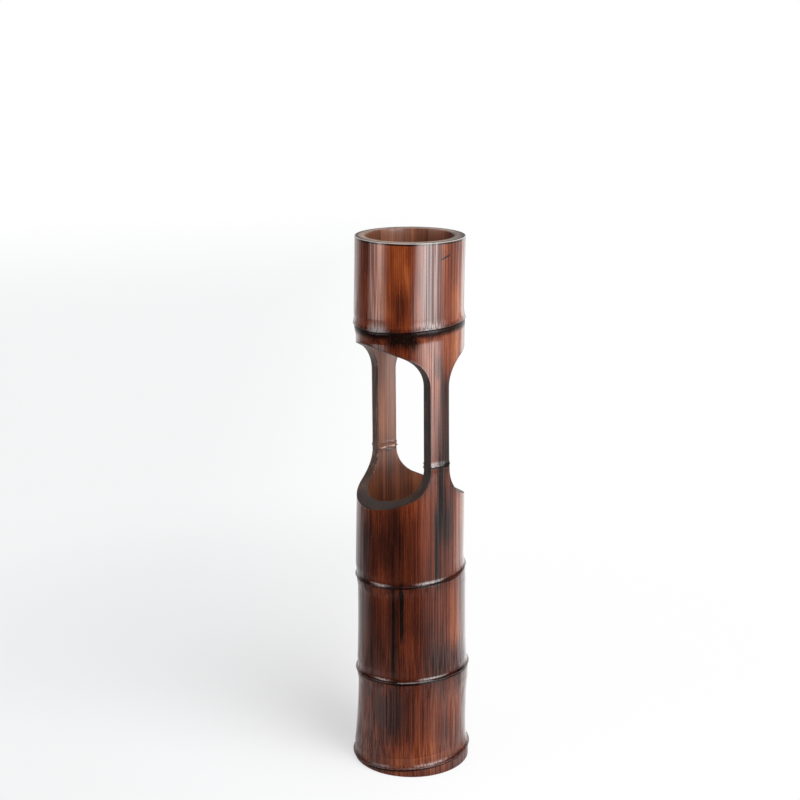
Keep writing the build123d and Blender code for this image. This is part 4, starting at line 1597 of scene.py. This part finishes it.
# %% How pale the floor is in the lacquer
TO_THE_RIGHT, TO_THE_BACK = (0.556, 0.831, 0.0), (-0.831, 0.556, 0.0)
# the floor's glow turns this off-white on the left as painted shade
WHITE, SHADE_GREY_WHITE = (1.0, 1.0, 1.0, 1.0), (0.90, 0.915, 0.92, 1.0)
room_level, floor_reach, floor_drop = 0.36, 5.0, 0.2 * MM


def reach_along(bench, vector, heading):
    """How far a vector goes along a heading."""
    return bench.add("ShaderNodeVectorMath", {0: vector, 1: heading},
                     operation="DOT_PRODUCT").outputs["Value"]


def mirrored_floor(bench, right, back, away):
    """The floor's level; right and back give a direction (-1 to 1), away a distance in metres."""
    near_left = bench.times(bench.span(right, -1.0, -0.3, 0.22, 0.0),
                            bench.span(away, 0.2, 0.5, 1.0, 0.0))
    front = bench.plus(bench.span(away, 0.15, 0.60, 0.18, 0.03), bench.plus(
        bench.span(right, 0.1, 0.9, 0.0, 0.52), near_left))
    back_right = bench.times(bench.span(back, -0.1, 0.5), bench.span(away, 0.4, 1.8, 1.3, 1.0))
    far_left = bench.times(bench.span(back, 0.50, 0.78, 0.0, 0.65), bench.span(away, 0.5, 1.6))
    back_left = bench.times_plus(
        bench.span(back, -0.3, 0.9), bench.span(away, 0.25, 2.0, 0.60, 0.22), far_left)
    side = bench.span(right, 0.05, 0.40)
    return bench.larger(front, bench.times_plus(
        side, bench.minus(back_right, back_left), back_left))


print("the floor reaches %.0f m each way" % floor_reach)

# %% [markdown]
# The world is white where the camera looks past the vase. For the light that falls on the vase it
# is a plain dim room. In the lacquer it is white only behind the vase, where the backdrop hangs,
# so that the edges of the culm turn pale and its front stays deep in colour. Just above the
# floor's edge it carries on the floor's far level and fades upwards, so that no tilted part of
# the lacquer shows that edge as a hard line.

# %% World
world = bpy.data.worlds.new("studio")
bpy.context.scene.world = world
world.use_nodes = True
world.node_tree.nodes.clear()
bench = Bench(world.node_tree)
rays = bench.add("ShaderNodeLightPath").outputs
direction = bench.add("ShaderNodeTexCoord").outputs["Generated"]
right, back = (reach_along(bench, direction, h) for h in (TO_THE_RIGHT, TO_THE_BACK))
rise = bench.add("ShaderNodeSeparateXYZ", {"Vector": direction}).outputs["Z"]
backdrop = bench.times(bench.span(back, 0.55, 0.78), bench.span(right, -0.5, 0.4, 0.50, 0.85))
above_floor = bench.times(mirrored_floor(bench, right, back, floor_reach),
                          bench.span(rise, 0.0, 0.45, 1.0, 0.0))
room = bench.blend(rays["Is Glossy Ray"], (room_level,) * 3 + (1.0,),
                   bench.larger(backdrop, above_floor))
seen = bench.larger(rays["Is Camera Ray"], rays["Is Transmission Ray"])
light = bench.add("ShaderNodeBackground", {
    "Color": bench.blend(seen, room, WHITE), "Strength": 1.0})
bench.add("ShaderNodeOutputWorld", {"Surface": light.outputs[0]})
print("world nodes:", len(world.node_tree.nodes))

# %% [markdown]
# ## The floor
# The floor is a plain sheet a hair below the foot. Part of it is matt, which takes the vase's soft
# shadow, and part gives off white, so that it looks white without more light on the vase. On the
# left, within a few metres, that glow is a little grey: painted shade. Near the vase, and most on
# its left, the matt share is larger, because the shadow is longer there.

# %% The floor's finish
pale = bpy.data.materials.new("Pale floor")
pale.use_nodes = True
pale.node_tree.nodes.clear()
bench = Bench(pale.node_tree)
rays = bench.add("ShaderNodeLightPath").outputs
spot = bench.add("ShaderNodeTexCoord").outputs["Object"]
away = bench.add("ShaderNodeVectorMath", {0: spot}, operation="LENGTH").outputs["Value"]
right, back = (reach_along(bench, spot, h) for h in (TO_THE_RIGHT, TO_THE_BACK))
near_share = bench.span(right, -0.12, 0.10, bench.span(back, -0.08, 0.06, 0.66, 0.28), 0.93)
white_share = bench.span(away, 0.10, bench.span(back, -0.05, 0.20, 0.40, 1.05), near_share, 1.0)
seen = bench.larger(rays["Is Camera Ray"], rays["Is Transmission Ray"])
white_share = bench.larger(bench.times(seen, white_share), rays["Is Glossy Ray"])
# painted shade: to the left of the vase, within a few metres, the floor's glow is off-white
unshaded_white_share = bench.larger(bench.span(right, -0.45, 0.12), bench.span(away, 2.4, 4.6))
mirrored = mirrored_floor(bench, bench.sum("DIVIDE", right, away),
                          bench.sum("DIVIDE", back, away), away)
matt = bench.add("ShaderNodeBsdfDiffuse", {"Color": (0.80, 0.80, 0.81, 1.0)})
glow = bench.add("ShaderNodeEmission", {"Color": bench.blend(
    rays["Is Glossy Ray"], bench.blend(unshaded_white_share, SHADE_GREY_WHITE, WHITE), mirrored), "Strength": 1.0})
mixed = bench.add("ShaderNodeMixShader", {
    0: white_share, 1: matt.outputs[0], 2: glow.outputs[0]})
bench.add("ShaderNodeOutputMaterial", {"Surface": mixed.outputs[0]})
print("floor nodes:", len(pale.node_tree.nodes))

# %% The floor's sheet
floor_mesh = bpy.data.meshes.new("studio_floor")
floor_mesh.from_pydata([(x * floor_reach, y * floor_reach, -floor_drop) for x, y in (
    (-1, -1), (1, -1), (1, 1), (-1, 1))], [], [(0, 1, 2, 3)])
floor_mesh.materials.append(pale)
floor = bpy.data.objects.new("studio_floor", floor_mesh)
bpy.context.scene.collection.objects.link(floor)
print("floor %.1f mm below the foot" % (floor_drop / MM))

# %% [markdown] ## View settings The Standard view shows a colour about as it is written.

# %% View settings
bpy.context.scene.view_settings.view_transform = "Standard"
